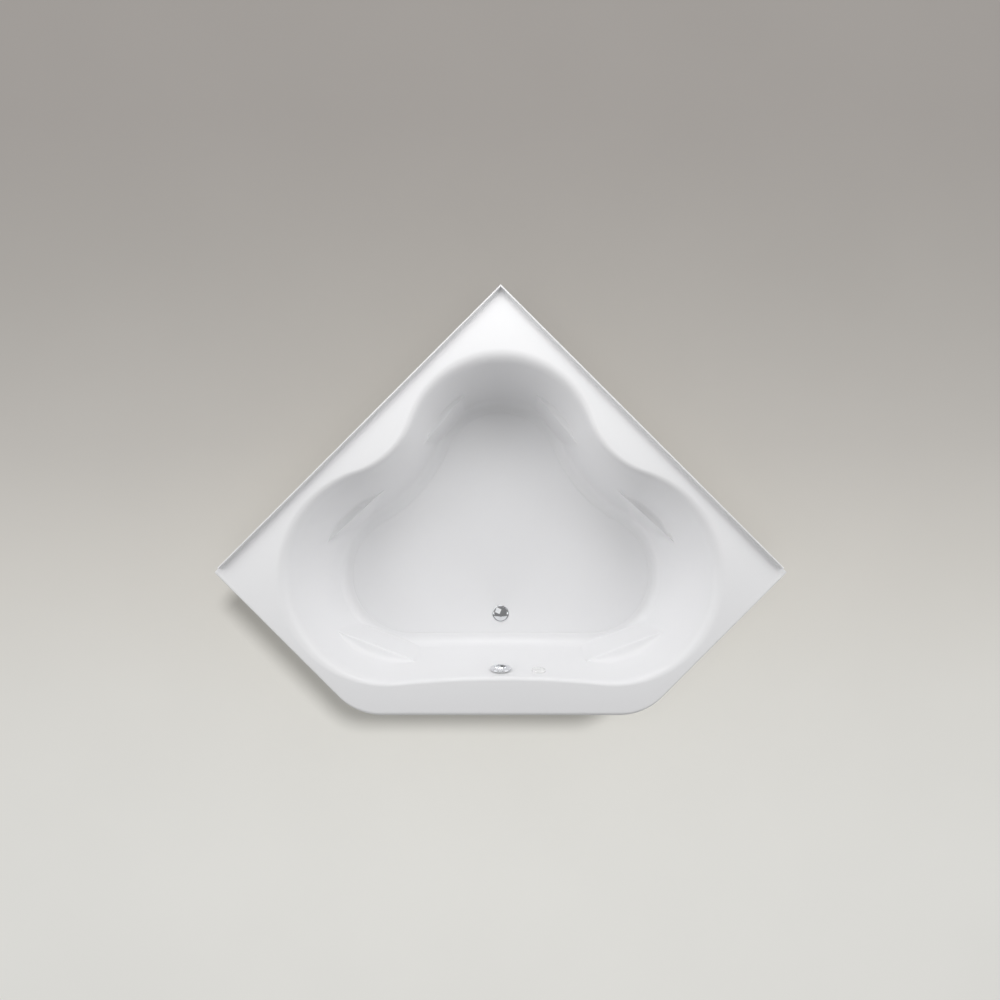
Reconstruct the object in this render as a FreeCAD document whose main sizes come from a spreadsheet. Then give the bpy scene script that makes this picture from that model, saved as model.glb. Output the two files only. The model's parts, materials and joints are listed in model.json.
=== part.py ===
"""Corner bathtub: moulded acrylic shell with tile flanges, its support, waste and air button.

Millimetres. X runs to the right along the front, Y to the back corner, Z up from the floor.
The origin is on the floor, under the middle of the tub's rectangle.
"""
import FreeCAD
import Part
import Sketcher
import functools
import math
import os
import re

V = FreeCAD.Vector
ALONG_X, ALONG_Y, UP = V(1, 0, 0), V(0, 1, 0), V(0, 0, 1)
DOC = FreeCAD.newDocument("corner_bathtub")

# ---------------------------------------------------------------- driving dimensions
DIMENSIONS = {
    # deck outline: a square whose front corner is cut off at 45 degrees
    "WallLeg": 1524, "ReturnLeg": 762, "FrontCornerRadius": 230,
    "DeckHeight": 508, "DeckThick": 6, "LipHeight": 40, "LipThick": 6,
    "FrontEdgeRadius": 14, "ReturnEdgeRadius": 6,
    "FlangeRise": 25, "FlangeThick": 5, "FlangeGap": 20, "FlangeCove": 9,
    # basin
    "BasinDepth": 385, "WallThick": 6, "FloorThick": 7, "FloorFall": 0.0122,
    "BossRadius": 50, "BossDrop": 6,
    # support
    "BoardThick": 18, "BoardMargin": 34, "BearerHeight": 30, "BearerWidth": 50,
    "BearerLip": 22, "BearerSteel": 2.5, "ScrewRadius": 2.25,
    "StemRadius": 6, "StemTop": 107, "PadRadius": 30,
    "NutAcross": 19, "WeldNutHeight": 10, "LockNutHeight": 7,
    "BattenWidth": 28, "BattenThick": 18, "BattenInset": 4,
    "FrontBattenWidth": 44, "FrontBattenLength": 760,
    # drain, on the centre line
    "DrainY": -478, "DrainRadius": 36, "RecessDepth": 3, "BarrelRadius": 24, "WayRadius": 20,
    "StopperRadius": 30, "SpindleBack": 14, "SpindleLevel": 89.7, "SpindleRadius": 3,
    "CrankLength": 20, "WireX": 36, "WireLevel": 71, "WireRadius": 0.8, "CableRadius": 2.5,
    # waste pipes
    "WasteLevel": 60, "PipeRadius": 20, "PipeWall": 1.6, "SocketRadius": 23.5,
    "PipeY": -687, "TailRadius": 19.05, "TailEnd": 6,
    # overflow and button, square to the front wall
    "OverflowDrop": 74, "DialRadius": 40, "OverflowHole": 25,
    "ButtonX": 147, "ButtonRadius": 26.5, "ButtonHole": 17.5,
}


def make_sheet():
    """Spreadsheet whose cells hold the driving dimensions, one alias each."""
    sheet = DOC.addObject("Spreadsheet::Sheet", "Dims")
    for row, (alias, value) in enumerate(DIMENSIONS.items(), start=1):
        sheet.set(f"A{row}", alias)
        sheet.set(f"B{row}", str(value))
        sheet.setAlias(f"B{row}", alias)
    DOC.recompute()
    return sheet


SHEET = make_sheet()
HALF_SPAN = "WallLeg / sqrt(2)"
RETURN_RUN = "ReturnLeg / sqrt(2)"
BACK_Y = f"({HALF_SPAN} + {RETURN_RUN}) / 2"
TIP_Y = f"({BACK_Y} - {HALF_SPAN})"
FRONT_X = f"({HALF_SPAN} - {RETURN_RUN})"
FLOOR_UNDER = "(DeckHeight - BasinDepth - FloorThick)"
BOARD_UNDER = f"({FLOOR_UNDER} - BoardThick)"
BEARER_UNDER = f"({BOARD_UNDER} - BearerHeight)"
FLOOR_TOP = "(DeckHeight - BasinDepth)"


def link(expression):
    """The same expression with each alias named through the sheet."""
    return re.sub(r"\b([A-Z]\w+)", r"Dims.\1", str(expression))


@functools.lru_cache(maxsize=None)
def dim(expression):
    """Value of an expression over the sheet's aliases, such as 'DeckHeight - DeckThick'."""
    return float(SHEET.evalExpression(str(expression)))


# ---------------------------------------------------------------- drawing helpers
def new_body(label):
    body = DOC.addObject("PartDesign::Body", label)
    body.Label = label
    return body


def new_sketch(body, role="XY_Plane", lift="0"):
    """Sketch on one of the body's own origin planes, lifted along the plane's normal."""
    sketch = body.newObject("Sketcher::SketchObject", body.Name + "_sketch")
    plane = next(item for item in body.Origin.OriginFeatures if item.Role == role)
    sketch.AttachmentSupport = [(plane, "")]
    sketch.MapMode = "FlatFace"
    sketch.setExpression("AttachmentOffset.Base.z", link(lift))
    return sketch


def fix_point(sketch, geometry, position, x, y):
    """Tie a point of the sketch to its coordinates, given as expressions."""
    for kind, expression, axis in (("DistanceX", x, -2), ("DistanceY", y, -1)):
        if abs(dim(expression)) < 1e-9:
            sketch.addConstraint(Sketcher.Constraint("PointOnObject", geometry, position, axis))
            continue
        rule = Sketcher.Constraint(kind, -1, 1, geometry, position, dim(expression))
        number = sketch.addConstraint(rule)
        sketch.setExpression(f"Constraints[{number}]", link(expression))


def draw_polygon(sketch, corners):
    """Closed chain of lines through corners, each a pair of expressions."""
    points = [V(dim(x), dim(y), 0) for x, y in corners]
    first = sketch.GeometryCount
    count = len(corners)
    for here, there in zip(points, points[1:] + points[:1]):
        sketch.addGeometry(Part.LineSegment(here, there))
    for i, (x, y) in enumerate(corners):
        following = first + (i + 1) % count
        sketch.addConstraint(Sketcher.Constraint("Coincident", first + i, 2, following, 1))
        fix_point(sketch, first + i, 1, x, y)


def draw_circle(sketch, x, y, radius):
    number = sketch.addGeometry(Part.Circle(V(dim(x), dim(y), 0), UP, dim(radius)))
    fix_point(sketch, number, 3, x, y)
    rule = sketch.addConstraint(Sketcher.Constraint("Radius", number, dim(radius)))
    sketch.setExpression(f"Constraints[{rule}]", link(radius))


def pad(body, sketch, length, downwards=False):
    feature = body.newObject("PartDesign::Pad", body.Name + "_pad")
    feature.Profile = sketch
    feature.setExpression("Length", link(length))
    feature.Reversed = downwards
    DOC.recompute()
    return feature


def pocket(body, sketch, length, upwards=False):
    """Cut along the sketch's normal: downwards, or upwards when asked."""
    before = body.Shape.Volume
    feature = body.newObject("PartDesign::Pocket", body.Name + "_pocket")
    feature.Profile = sketch
    feature.setExpression("Length", link(length))
    feature.Reversed = upwards
    DOC.recompute()
    if body.Shape.Volume > before - 0.01:
        raise RuntimeError(f"{feature.Name} cuts nothing")
    return feature


def revolve(body, corners, role="XZ_Plane"):
    """Turned piece: the half section (radius, height) spun about the plane's upright axis."""
    sketch = new_sketch(body, role)
    draw_polygon(sketch, corners)
    feature = body.newObject("PartDesign::Revolution", body.Name + "_turned")
    feature.Profile = sketch
    feature.ReferenceAxis = (sketch, ["V_Axis"])
    feature.Angle = 360
    DOC.recompute()
    return feature


def repeat_round(body, feature, count):
    """The feature repeated about the body's Z axis."""
    pattern = body.newObject("PartDesign::PolarPattern", body.Name + "_ring")
    pattern.Originals = [feature]
    axis = next(item for item in body.Origin.OriginFeatures if item.Role == "Z_Axis")
    pattern.Axis = (axis, [""])
    pattern.Angle = 360
    pattern.Occurrences = count
    body.Tip = pattern
    DOC.recompute()
    return pattern


def edge_names(shape, wanted):
    """Names of the edges for which wanted(edge) holds."""
    return [f"Edge{i}" for i, edge in enumerate(shape.Edges, start=1) if wanted(edge)]


def round_edges(body, wanted, radius, kind="Fillet"):
    """Fillet or chamfer on the body's edges that match."""
    base = body.Tip
    feature = body.newObject("PartDesign::" + kind, body.Name + "_" + kind.lower())
    names = edge_names(base.Shape, wanted)
    if not names:
        raise RuntimeError(f"{feature.Name} finds no edge")
    feature.Base = (base, names)
    feature.setExpression("Radius" if kind == "Fillet" else "Size", link(radius))
    DOC.recompute()
    return feature


def upright_at(x, y, reach=1.0):
    """Picks the upright edges that stand at a point of the plan."""
    def wanted(edge):
        ends = [vertex.Point for vertex in edge.Vertexes]
        return len(ends) == 2 and all(math.hypot(p.x - x, p.y - y) < reach for p in ends)
    return wanted


def place(body, x="0", y="0", z="0", rotation=None):
    """Put a finished body in the tub's frame, its position bound to the sheet."""
    if rotation is not None:
        body.Placement = FreeCAD.Placement(V(), rotation)
    for axis, expression in zip("xyz", (x, y, z)):
        body.setExpression(f"Placement.Base.{axis}", link(expression))
    DOC.recompute()
    return body


def feature(label, shape):
    """Form that no parametric feature gives, set from Part's own functions."""
    item = DOC.addObject("Part::Feature", label)
    item.Shape = shape
    return item


def fuse(label, *items):
    joined = DOC.addObject("Part::MultiFuse", label)
    joined.Shapes = list(items)
    DOC.recompute()
    return joined


def cut(label, base, tool):
    remainder = DOC.addObject("Part::Cut", label)
    remainder.Base = base
    remainder.Tool = tool
    DOC.recompute()
    return remainder


# ---------------------------------------------------------------- basin outline at a depth
# The outline at any depth is a ring of tangent arcs: the back lobe, a nose on each side, the
# two side lobes and the long front arc. Each figure is (at the rim, at the floor's edge).
BACK_REACH = (576.5, 383.5)      # y of the far end of the back lobe
BACK_RADIUS = (368, 249)
SIDE_REACH = (851, 638)          # x of the far end of a side lobe
SIDE_RADIUS = (417.5, 261)
NOSE_RADIUS = (315, 598)
FRONT_REACH = (677.5, 569)       # y of the front wall on the centre line, towards the front
FRONT_RADIUS = (3760, 40000)
HEADREST_ROLL = 56               # roll of the rim behind a bather's neck
RIM_ROLL = 17                    # roll of the rim elsewhere
COVE = 45                        # hollow between wall and floor


def wall_draft(width, roll):
    """Draft angle of a wall that goes inwards by width between its rim and the floor."""
    low, high = 0.0, math.radians(60)
    for _ in range(40):
        draft = (low + high) / 2
        straight = dim("BasinDepth") - (roll + COVE) * (1 - math.sin(draft))
        reach = (roll + COVE) * math.cos(draft) + straight * math.tan(draft)
        low, high = (draft, high) if reach < width else (low, draft)
    return draft


DRAFTS = {}


def at_depth(pair, depth, roll):
    """A figure of the outline at a depth: its rim value less what the wall has gone inwards."""
    width = pair[0] - pair[1]
    draft = DRAFTS.setdefault((width, roll), wall_draft(width, roll))
    roll_depth = roll * (1 - math.sin(draft))
    rest = max(0.0, dim("BasinDepth") - depth)
    if depth <= roll_depth:
        inwards = math.sqrt(max(0.0, roll ** 2 - (roll - depth) ** 2))
    elif rest <= COVE * (1 - math.sin(draft)):
        inwards = width - math.sqrt(max(0.0, COVE ** 2 - (COVE - rest) ** 2))
    else:
        inwards = roll * math.cos(draft) + (depth - roll_depth) * math.tan(draft)
    return pair[0] - inwards


def outline_circles(depth, grow=0.0):
    """Centre and radius of the back, nose, side and front circles at a depth (left side).

    The outline moves outwards by grow."""
    back_radius = at_depth(BACK_RADIUS, depth, RIM_ROLL)
    back = V(0, at_depth(BACK_REACH, depth, HEADREST_ROLL) - back_radius, 0)
    share = depth / dim("BasinDepth")
    nose_radius = NOSE_RADIUS[0] + share * (NOSE_RADIUS[1] - NOSE_RADIUS[0])
    front_radius = 1 / ((1 - share) / FRONT_RADIUS[0] + share / FRONT_RADIUS[1])
    front = V(0, -at_depth(FRONT_REACH, depth, RIM_ROLL) - front_radius, 0)
    side_radius = at_depth(SIDE_RADIUS, depth, RIM_ROLL)
    side_x = side_radius - at_depth(SIDE_REACH, depth, HEADREST_ROLL)
    side_y = front.y + math.sqrt((side_radius + front_radius) ** 2 - side_x ** 2)
    side = V(side_x, side_y, 0)
    # the nose circle touches the back and side circles from outside
    gap = side - back
    from_back = back_radius + nose_radius
    from_side = side_radius + nose_radius
    along = (from_back ** 2 - from_side ** 2 + gap.Length ** 2) / (2 * gap.Length)
    across = math.sqrt(from_back ** 2 - along ** 2)
    unit = gap / gap.Length
    nose = back + unit * along + V(unit.y, -unit.x, 0) * across
    return {
        "back": (back, back_radius + grow),
        "nose": (nose, nose_radius - grow),
        "side": (side, side_radius + grow),
        "front": (front, front_radius - grow),
    }


def mirrored(point):
    return V(-point.x, point.y, point.z)


def touch(first, second):
    """Where two circles touch from outside."""
    return first[0] + (second[0] - first[0]) * (first[1] / (first[1] + second[1]))


def arc_middle(circle, start, end):
    """Middle of the shorter arc between two points of a circle."""
    centre, radius = circle
    return centre + (start + end - centre * 2).normalize() * radius


def outline_wire(depth, level, grow=0.0, fall=0.0):
    """Closed wire of the outline, laid at a level that falls towards the drain."""
    circles = outline_circles(depth, grow)
    back, nose, side, front = (circles[key] for key in ("back", "nose", "side", "front"))
    front_side = touch(front, side)
    side_nose = touch(side, nose)
    nose_back = touch(nose, back)
    side_far = side[0] - V(side[1], 0, 0)
    half = [(front_side, arc_middle(side, front_side, side_far), side_far),
            (side_far, arc_middle(side, side_far, side_nose), side_nose),
            (side_nose, arc_middle(nose, side_nose, nose_back), nose_back)]
    top = (nose_back, back[0] + V(0, back[1], 0), mirrored(nose_back))
    bottom = (mirrored(front_side), front[0] + V(0, front[1], 0), front_side)
    other_half = [tuple(mirrored(p) for p in reversed(arc)) for arc in reversed(half)]
    edges = []
    for arc in half + [top] + other_half + [bottom]:
        points = [V(p.x, p.y, level + fall * (p.y - dim("DrainY"))) for p in arc]
        edges.append(Part.Arc(*points).toShape())
    return Part.Wire(edges)


# ---------------------------------------------------------------- bath shell
def deck_form():
    """Deck plate with its drop lip and the tile flanges on both wall sides."""
    body = new_body("deck_form")
    under = "DeckHeight - LipHeight"
    outline = new_sketch(body, lift=under)
    draw_polygon(outline, [
        ("0", BACK_Y), (f"-{HALF_SPAN}", TIP_Y), (f"-{FRONT_X}", f"-{BACK_Y}"),
        (FRONT_X, f"-{BACK_Y}"), (HALF_SPAN, TIP_Y)])
    pad(body, outline, "LipHeight")
    hollow = new_sketch(body, lift=under)
    inner_x = f"({FRONT_X} - LipThick * (sqrt(2) - 1))"
    beyond = "40"
    draw_polygon(hollow, [
        ("0", f"{BACK_Y} + 3 * {beyond}"),
        (f"-({HALF_SPAN} + {beyond})", f"{TIP_Y} + {beyond} + LipThick * sqrt(2)"),
        (f"-{inner_x}", f"LipThick - {BACK_Y}"), (inner_x, f"LipThick - {BACK_Y}"),
        (f"{HALF_SPAN} + {beyond}", f"{TIP_Y} + {beyond} + LipThick * sqrt(2)")])
    pocket(body, hollow, "LipHeight - DeckThick", upwards=True)
    front_y = -dim(BACK_Y)
    for side in (-1, 1):
        inner_corner = upright_at(side * dim(inner_x), front_y + dim("LipThick"))
        round_edges(body, inner_corner, "FrontCornerRadius - LipThick")
        round_edges(body, upright_at(side * dim(FRONT_X), front_y), "FrontCornerRadius")
    flange = new_sketch(body, lift="DeckHeight - DeckThick")
    end_x = f"({HALF_SPAN} - FlangeGap)"
    end_y = f"({TIP_Y} + FlangeGap)"
    slant = "FlangeThick / sqrt(2)"
    draw_polygon(flange, [
        ("0", BACK_Y), (f"-{end_x}", end_y), (f"-{end_x} + {slant}", f"{end_y} - {slant}"),
        ("0", f"{BACK_Y} - FlangeThick * sqrt(2)"),
        (f"{end_x} - {slant}", f"{end_y} - {slant}"), (end_x, end_y)])
    pad(body, flange, "FlangeRise + DeckThick")
    round_edges(body, flange_root, "FlangeCove")
    return rounded_rim(body)


def flange_root(edge):
    """Picks the two long edges where a flange's inner face meets the deck."""
    ends = [vertex.Point for vertex in edge.Vertexes]
    if len(ends) != 2 or any(abs(p.z - dim("DeckHeight")) > 0.01 for p in ends):
        return False
    inset = [(dim(BACK_Y) - p.y - abs(p.x)) / math.sqrt(2) for p in ends]
    return all(abs(value - dim("FlangeThick")) < 0.01 for value in inset)


def rounded_rim(body):
    """The deck's open sides rounded over, from the small return radius to the front's."""
    small, large = dim("ReturnEdgeRadius"), dim("FrontEdgeRadius")
    front_y = -dim(BACK_Y)
    chosen = []
    for number, edge in enumerate(body.Shape.Edges, start=1):
        ends = [vertex.Point for vertex in edge.Vertexes]
        if len(ends) != 2 or any(abs(p.z - dim("DeckHeight")) > 0.01 for p in ends):
            continue
        at_front = [abs(p.y - front_y) < 0.01 for p in ends]
        on_return = [abs(abs(p.x) - p.y - dim(HALF_SPAN) + dim(TIP_Y)) < 0.01 for p in ends]
        if all(front or side for front, side in zip(at_front, on_return)):
            radii = [large if front else small for front in at_front]
            if edge.Orientation == "Reversed" and len(set(radii)) == 2:
                radii.reverse()
            chosen.append((number, *radii))
    rim = DOC.addObject("Part::Fillet", "deck_rounded")
    rim.Base = body
    rim.Edges = chosen
    DOC.recompute()
    return rim


def loft(label, wires):
    """Solid through a stack of outlines."""
    sections = [feature(f"{label}_section", wire) for wire in wires]
    solid = DOC.addObject("Part::Loft", label)
    solid.Sections = sections
    solid.Solid = True
    solid.Ruled = True
    DOC.recompute()
    return solid


def basin_form(label, depths, grow, drop, fall):
    """Solid of the basin's inside or outside through its outlines at the given depths."""
    deepest = dim("BasinDepth")
    wires = []
    for depth in depths:
        level = dim("DeckHeight") - drop - depth
        wires.append(outline_wire(min(depth, deepest), level, grow, fall * (depth / deepest) ** 2))
    return loft(label, wires)


# Armrest ledges in the wall, left side: plan of the two tips, depth of the flat top below the
# deck, its fall towards the bather, and how far the face below it reaches in at the floor.
CRESCENTS = {
    "back": {"tips": ((-158, 414), (-345, 186)), "depth": 225, "slope": 8, "reach": 30},
    "side": {"tips": ((-445, 67), (-706, -172)), "depth": 225, "slope": 8, "reach": 30},
    "front": {"tips": ((-655, -522), (-343, -641)), "depth": 200, "slope": 8, "reach": 30},
}
CRESCENT_BACK = 160              # how far a ledge's block runs outwards, into the wall
CRESCENT_OVERRUN = 50            # and past each tip


def crescent(name, shape, mirror, outside):
    """Ledge whose crescent plan is left where a block with a straight edge meets the wall."""
    flip = -1 if mirror else 1
    start, end = (V(flip * x, y, 0) for x, y in shape["tips"])
    along = (end - start).normalize()
    outwards = V(along.y, -along.x, 0)
    if outwards.dot(start + end) < 0:
        outwards = outwards * -1
    top = dim("DeckHeight") - shape["depth"]
    foot = dim(FLOOR_TOP) - dim("FloorThick") / 2
    rise = CRESCENT_BACK * math.tan(math.radians(shape["slope"]))
    corners = [V(0, 0, top), outwards * CRESCENT_BACK + V(0, 0, top + rise),
               outwards * CRESCENT_BACK + V(0, 0, foot), outwards * -shape["reach"] + V(0, 0, foot)]
    origin = start - along * CRESCENT_OVERRUN
    section = Part.makePolygon([origin + corner for corner in corners + corners[:1]])
    length = (end - start).Length + 2 * CRESCENT_OVERRUN
    block = feature(name + "_block", Part.Face(section).extrude(along * length))
    ledge = DOC.addObject("Part::Common", name)
    ledge.Base = block
    ledge.Tool = outside
    DOC.recompute()
    return ledge


def wall_frame(x, drop):
    """Placement on the front wall at a drop below the deck, its Z axis square to the wall."""
    draft = wall_draft(FRONT_REACH[0] - FRONT_REACH[1], RIM_ROLL)
    centre, radius = outline_circles(drop)["front"]
    y = centre.y + math.sqrt(radius ** 2 - x ** 2)
    turn = FreeCAD.Rotation(UP, -math.degrees(math.asin(x / radius)))
    tilt = FreeCAD.Rotation(ALONG_X, -90 + math.degrees(draft))
    return FreeCAD.Placement(V(x, y, dim("DeckHeight") - drop), turn.multiply(tilt))


def cylinder(label, radius, start, direction, length):
    """Round bar or tool from a point along a direction; radius and length are expressions."""
    bar = DOC.addObject("Part::Cylinder", label)
    bar.setExpression("Radius", link(radius))
    bar.setExpression("Height", link(length))
    bar.Placement = FreeCAD.Placement(start, FreeCAD.Rotation(UP, direction))
    return bar


def through(label, frame, radius):
    """Round tool for a hole through the shell, centred on the frame's origin."""
    axis = frame.Rotation.multVec(UP)
    return cylinder(label, radius, frame.Base - axis * 30, axis, "60")


INNER_DEPTHS = (0, 1, 4, 9, 15, 38)
INNER_RISES = (36, 20, 8, 2, 0)
OUTER_DEPTHS = (0, 15, 38)
OUTER_RISES = (36, 10)


def bath_shell():
    """One moulding: deck, lip, flanges, three-lobed basin, crescents and its three holes."""
    deepest = dim("BasinDepth")
    inner = list(INNER_DEPTHS) + [deepest - rise for rise in INNER_RISES]
    outer = list(OUTER_DEPTHS) + [deepest - rise for rise in OUTER_RISES]
    outer.append(deepest + dim("FloorThick") - dim("WallThick"))
    inside = basin_form("basin_inside", inner, 0.0, 0.0, dim("FloorFall"))
    outside = basin_form("basin_outside", outer, dim("WallThick"), dim("WallThick"), 0.0)
    boss = DOC.addObject("Part::Cylinder", "drain_boss")
    boss.setExpression("Radius", link("BossRadius"))
    boss.setExpression("Height", link("BossDrop + FloorThick"))
    place(boss, "0", "DrainY", f"{FLOOR_UNDER} - BossDrop")
    body = fuse("shell_blank", deck_form(), outside, boss)
    body = cut("shell_hollow", body, inside)
    leaves = []
    for name, shape in CRESCENTS.items():
        for mirror in (False, True):
            leaves.append(crescent(f"crescent_{name}", shape, mirror, outside))
    body = fuse("shell_with_crescents", body, *leaves)
    drain = FreeCAD.Placement(V(0, dim("DrainY"), dim(FLOOR_TOP)), FreeCAD.Rotation())
    recess = drain.Base - UP * dim("RecessDepth")
    holes = fuse(
        "shell_holes",
        through("drain_hole", drain, "BarrelRadius + 1"),
        cylinder("drain_recess", "DrainRadius + 0.5", recess, UP, "20"),
        through("overflow_hole", wall_frame(0, dim("OverflowDrop")), "OverflowHole"),
        through("button_hole", wall_frame(dim("ButtonX"), dim("OverflowDrop")), "ButtonHole"))
    return cut("bath_shell", body, holes)


# ---------------------------------------------------------------- support under the floor
# Each bearer runs along X under the base board: y of its middle, half length, x of its feet.
BEARERS = {
    "front": (-390, 550, 450),
    "middle": (-100, 385, 340),
    "back": (230, 172, 140),
}
FOOT_SPOTS = [(side * foot_x, y) for y, _, foot_x in BEARERS.values() for side in (-1, 1)]
SLOT_RADIUS = 62                 # room for the waste through the board


def screw_offsets(half_length):
    """Places of the screws along a bearer's lip."""
    return [-half_length + 25, -0.4 * half_length, 0.4 * half_length, half_length - 25]


def screw_spots():
    lip_middle = dim("(BearerWidth + BearerLip) / 2")
    return [(x, y + side * lip_middle)
            for y, half_length, _ in BEARERS.values()
            for side in (-1, 1)
            for x in screw_offsets(half_length)]


def copies(label, body, spots):
    """One node of identical pieces: the body's shape at every spot of the plan."""
    shapes = []
    for x, y in spots:
        shape = body.Shape.copy()
        shape.translate(V(x, y, 0))
        shapes.append(shape)
    return feature(label, Part.makeCompound(shapes))


def base_board():
    """Board bonded under the floor, open to the front round the waste, drilled for the rest."""
    margin = dim("BoardMargin")
    plan = feature("board_plan", outline_wire(dim("BasinDepth"), dim(BOARD_UNDER), -margin))
    blank = DOC.addObject("Part::Extrusion", "board_blank")
    blank.Base = plan
    blank.DirMode = "Custom"
    blank.Dir = UP
    blank.Solid = True
    blank.setExpression("LengthFwd", link("BoardThick"))
    slot = DOC.addObject("Part::Box", "board_slot")
    slot.setExpression("Length", str(2 * SLOT_RADIUS))
    slot.setExpression("Width", "120")
    slot.setExpression("Height", link("BoardThick + 10"))
    place(slot, str(-SLOT_RADIUS), "DrainY - 120", f"{BOARD_UNDER} - 5")
    below = V(0, 0, dim(BOARD_UNDER) - 5)
    drain = V(0, dim("DrainY"), 0)
    tools = [slot, cylinder("board_slot_end", SLOT_RADIUS, below + drain, UP, "BoardThick + 10")]
    for x, y in FOOT_SPOTS:
        start = below + V(x, y, 0)
        tools.append(cylinder("board_stem_hole", "StemRadius + 2", start, UP, "BoardThick + 10"))
    for x, y in screw_spots():
        start = below + V(x, y, 0)
        tools.append(cylinder("board_screw_hole", "ScrewRadius + 0.1", start, UP, "BoardThick"))
    return cut("base_board", blank, fuse("board_tools", *tools))


def bearer(name):
    """Folded steel hat section: web below, two lips screwed up into the board."""
    y, half_length, foot_x = BEARERS[name]
    body = new_body(f"bearer_{name}")
    web, inner = "BearerWidth / 2", "(BearerWidth / 2 - BearerSteel)"
    lip, under_lip = "(BearerWidth / 2 + BearerLip)", "BearerHeight - BearerSteel"
    half = [(web, "0"), (web, under_lip), (lip, under_lip), (lip, "BearerHeight"),
            (inner, "BearerHeight"), (inner, "BearerSteel")]
    section = new_sketch(body, "YZ_Plane", lift=str(-half_length))
    draw_polygon(section, half + [(f"-{across}", height) for across, height in reversed(half)])
    pad(body, section, str(2 * half_length))
    stems = new_sketch(body)
    for side in (-1, 1):
        draw_circle(stems, str(side * foot_x), "0", "StemRadius + 0.5")
    pocket(body, stems, "BearerSteel + 1", upwards=True)
    screws = new_sketch(body, lift="BearerHeight + 1")
    for side in ("-", ""):
        for x in screw_offsets(half_length):
            draw_circle(screws, str(x), f"{side}(BearerWidth + BearerLip) / 2", "ScrewRadius + 0.25")
    pocket(body, screws, "5")
    return place(body, "0", str(y), BEARER_UNDER)


def bearer_screws():
    """Pan-head wood screws through the bearers' lips."""
    body = new_body("bearer_screw")
    seat = f"{BOARD_UNDER} - BearerSteel"
    revolve(body, [
        ("0", f"{seat} - 2.6"), ("3", f"{seat} - 2.6"), ("4.4", f"{seat} - 1.4"), ("4.4", seat),
        ("ScrewRadius", seat), ("ScrewRadius", f"{seat} + 11"), ("0", f"{seat} + 14.5")])
    return copies("bearer_screws", body, screw_spots())


def hex_nut(label, across, low, height, bore):
    body = new_body(label)
    outline = new_sketch(body, lift=low)
    corner = f"({across}) / sqrt(3)"
    draw_polygon(outline, [(f"{corner} * cos({60 * k})", f"{corner} * sin({60 * k})") for k in range(6)])
    pad(body, outline, height)
    hole = new_sketch(body, lift=f"{low} + {height} + 1")
    draw_circle(hole, "0", "0", bore)
    pocket(body, hole, f"{height} + 2")
    return body


def foot_nuts():
    """Nuts welded on the bearers' webs, and the lock nuts under them."""
    bore = "StemRadius + 0.05"
    on_web = f"({BEARER_UNDER} + BearerSteel)"
    weld = hex_nut("weld_nut", "NutAcross", on_web, "WeldNutHeight", bore)
    lock = hex_nut("lock_nut", "NutAcross", f"({BEARER_UNDER} - LockNutHeight)", "LockNutHeight", bore)
    return [copies("weld_nuts", weld, FOOT_SPOTS), copies("lock_nuts", lock, FOOT_SPOTS)]


def foot(number, x, y):
    """Screwed stem with a collar, and the plastic pad it stands in."""
    stem = new_body(f"foot_stem_{number}")
    revolve(stem, [
        ("0", "4"), ("StemRadius - 1", "4"), ("StemRadius", "5"), ("StemRadius", "16.2"),
        ("10", "16.2"), ("10", "22"), ("StemRadius", "22"), ("StemRadius", "StemTop - 1"),
        ("StemRadius - 1", "StemTop"), ("0", "StemTop")])
    pad_body = new_body(f"foot_pad_{number}")
    revolve(pad_body, [
        ("0", "0"), ("PadRadius", "0"), ("PadRadius", "5"), ("PadRadius - 4", "8"),
        ("14", "12"), ("14", "16"), ("StemRadius + 0.05", "16"), ("StemRadius + 0.05", "3.8"),
        ("0", "3.8")])
    return [place(stem, str(x), str(y)), place(pad_body, str(x), str(y))]


def batten(label, low, high, length, turn=0.0):
    """Board under the deck: from low to high across, along a wall or across the front."""
    body = new_body(label)
    plan = new_sketch(body, lift="DeckHeight - DeckThick - BattenThick")
    start, end = length
    draw_polygon(plan, [(start, low), (end, low), (end, high), (start, high)])
    pad(body, plan, "BattenThick")
    rotation = FreeCAD.Rotation(UP, turn)
    return place(body, "0", BACK_Y if turn else "0", "0", rotation)


def battens():
    near, far = "BattenInset", "(BattenInset + BattenWidth)"
    along_wall = (f"{far} + BattenInset", "WallLeg - 70")
    lip = f"(LipThick + BattenInset - {BACK_Y})"
    half = "FrontBattenLength / 2"
    return [
        batten("wall_batten_left", near, far, along_wall, 225.0),
        batten("wall_batten_right", f"-{far}", f"-{near}", along_wall, -45.0),
        batten("front_batten", lip, f"{lip} + FrontBattenWidth", (f"-{half}", half))]


# ---------------------------------------------------------------- drain, stopper and its lift
def over_floor(rise):
    """Height of a drain piece's point, counted from the floor's face at the drain."""
    return f"{FLOOR_TOP} + {rise}"


def ring(label, inner, outer, low, high):
    body = new_body(label)
    revolve(body, [(inner, low), (outer, low), (outer, high), (inner, high)])
    return body


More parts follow.
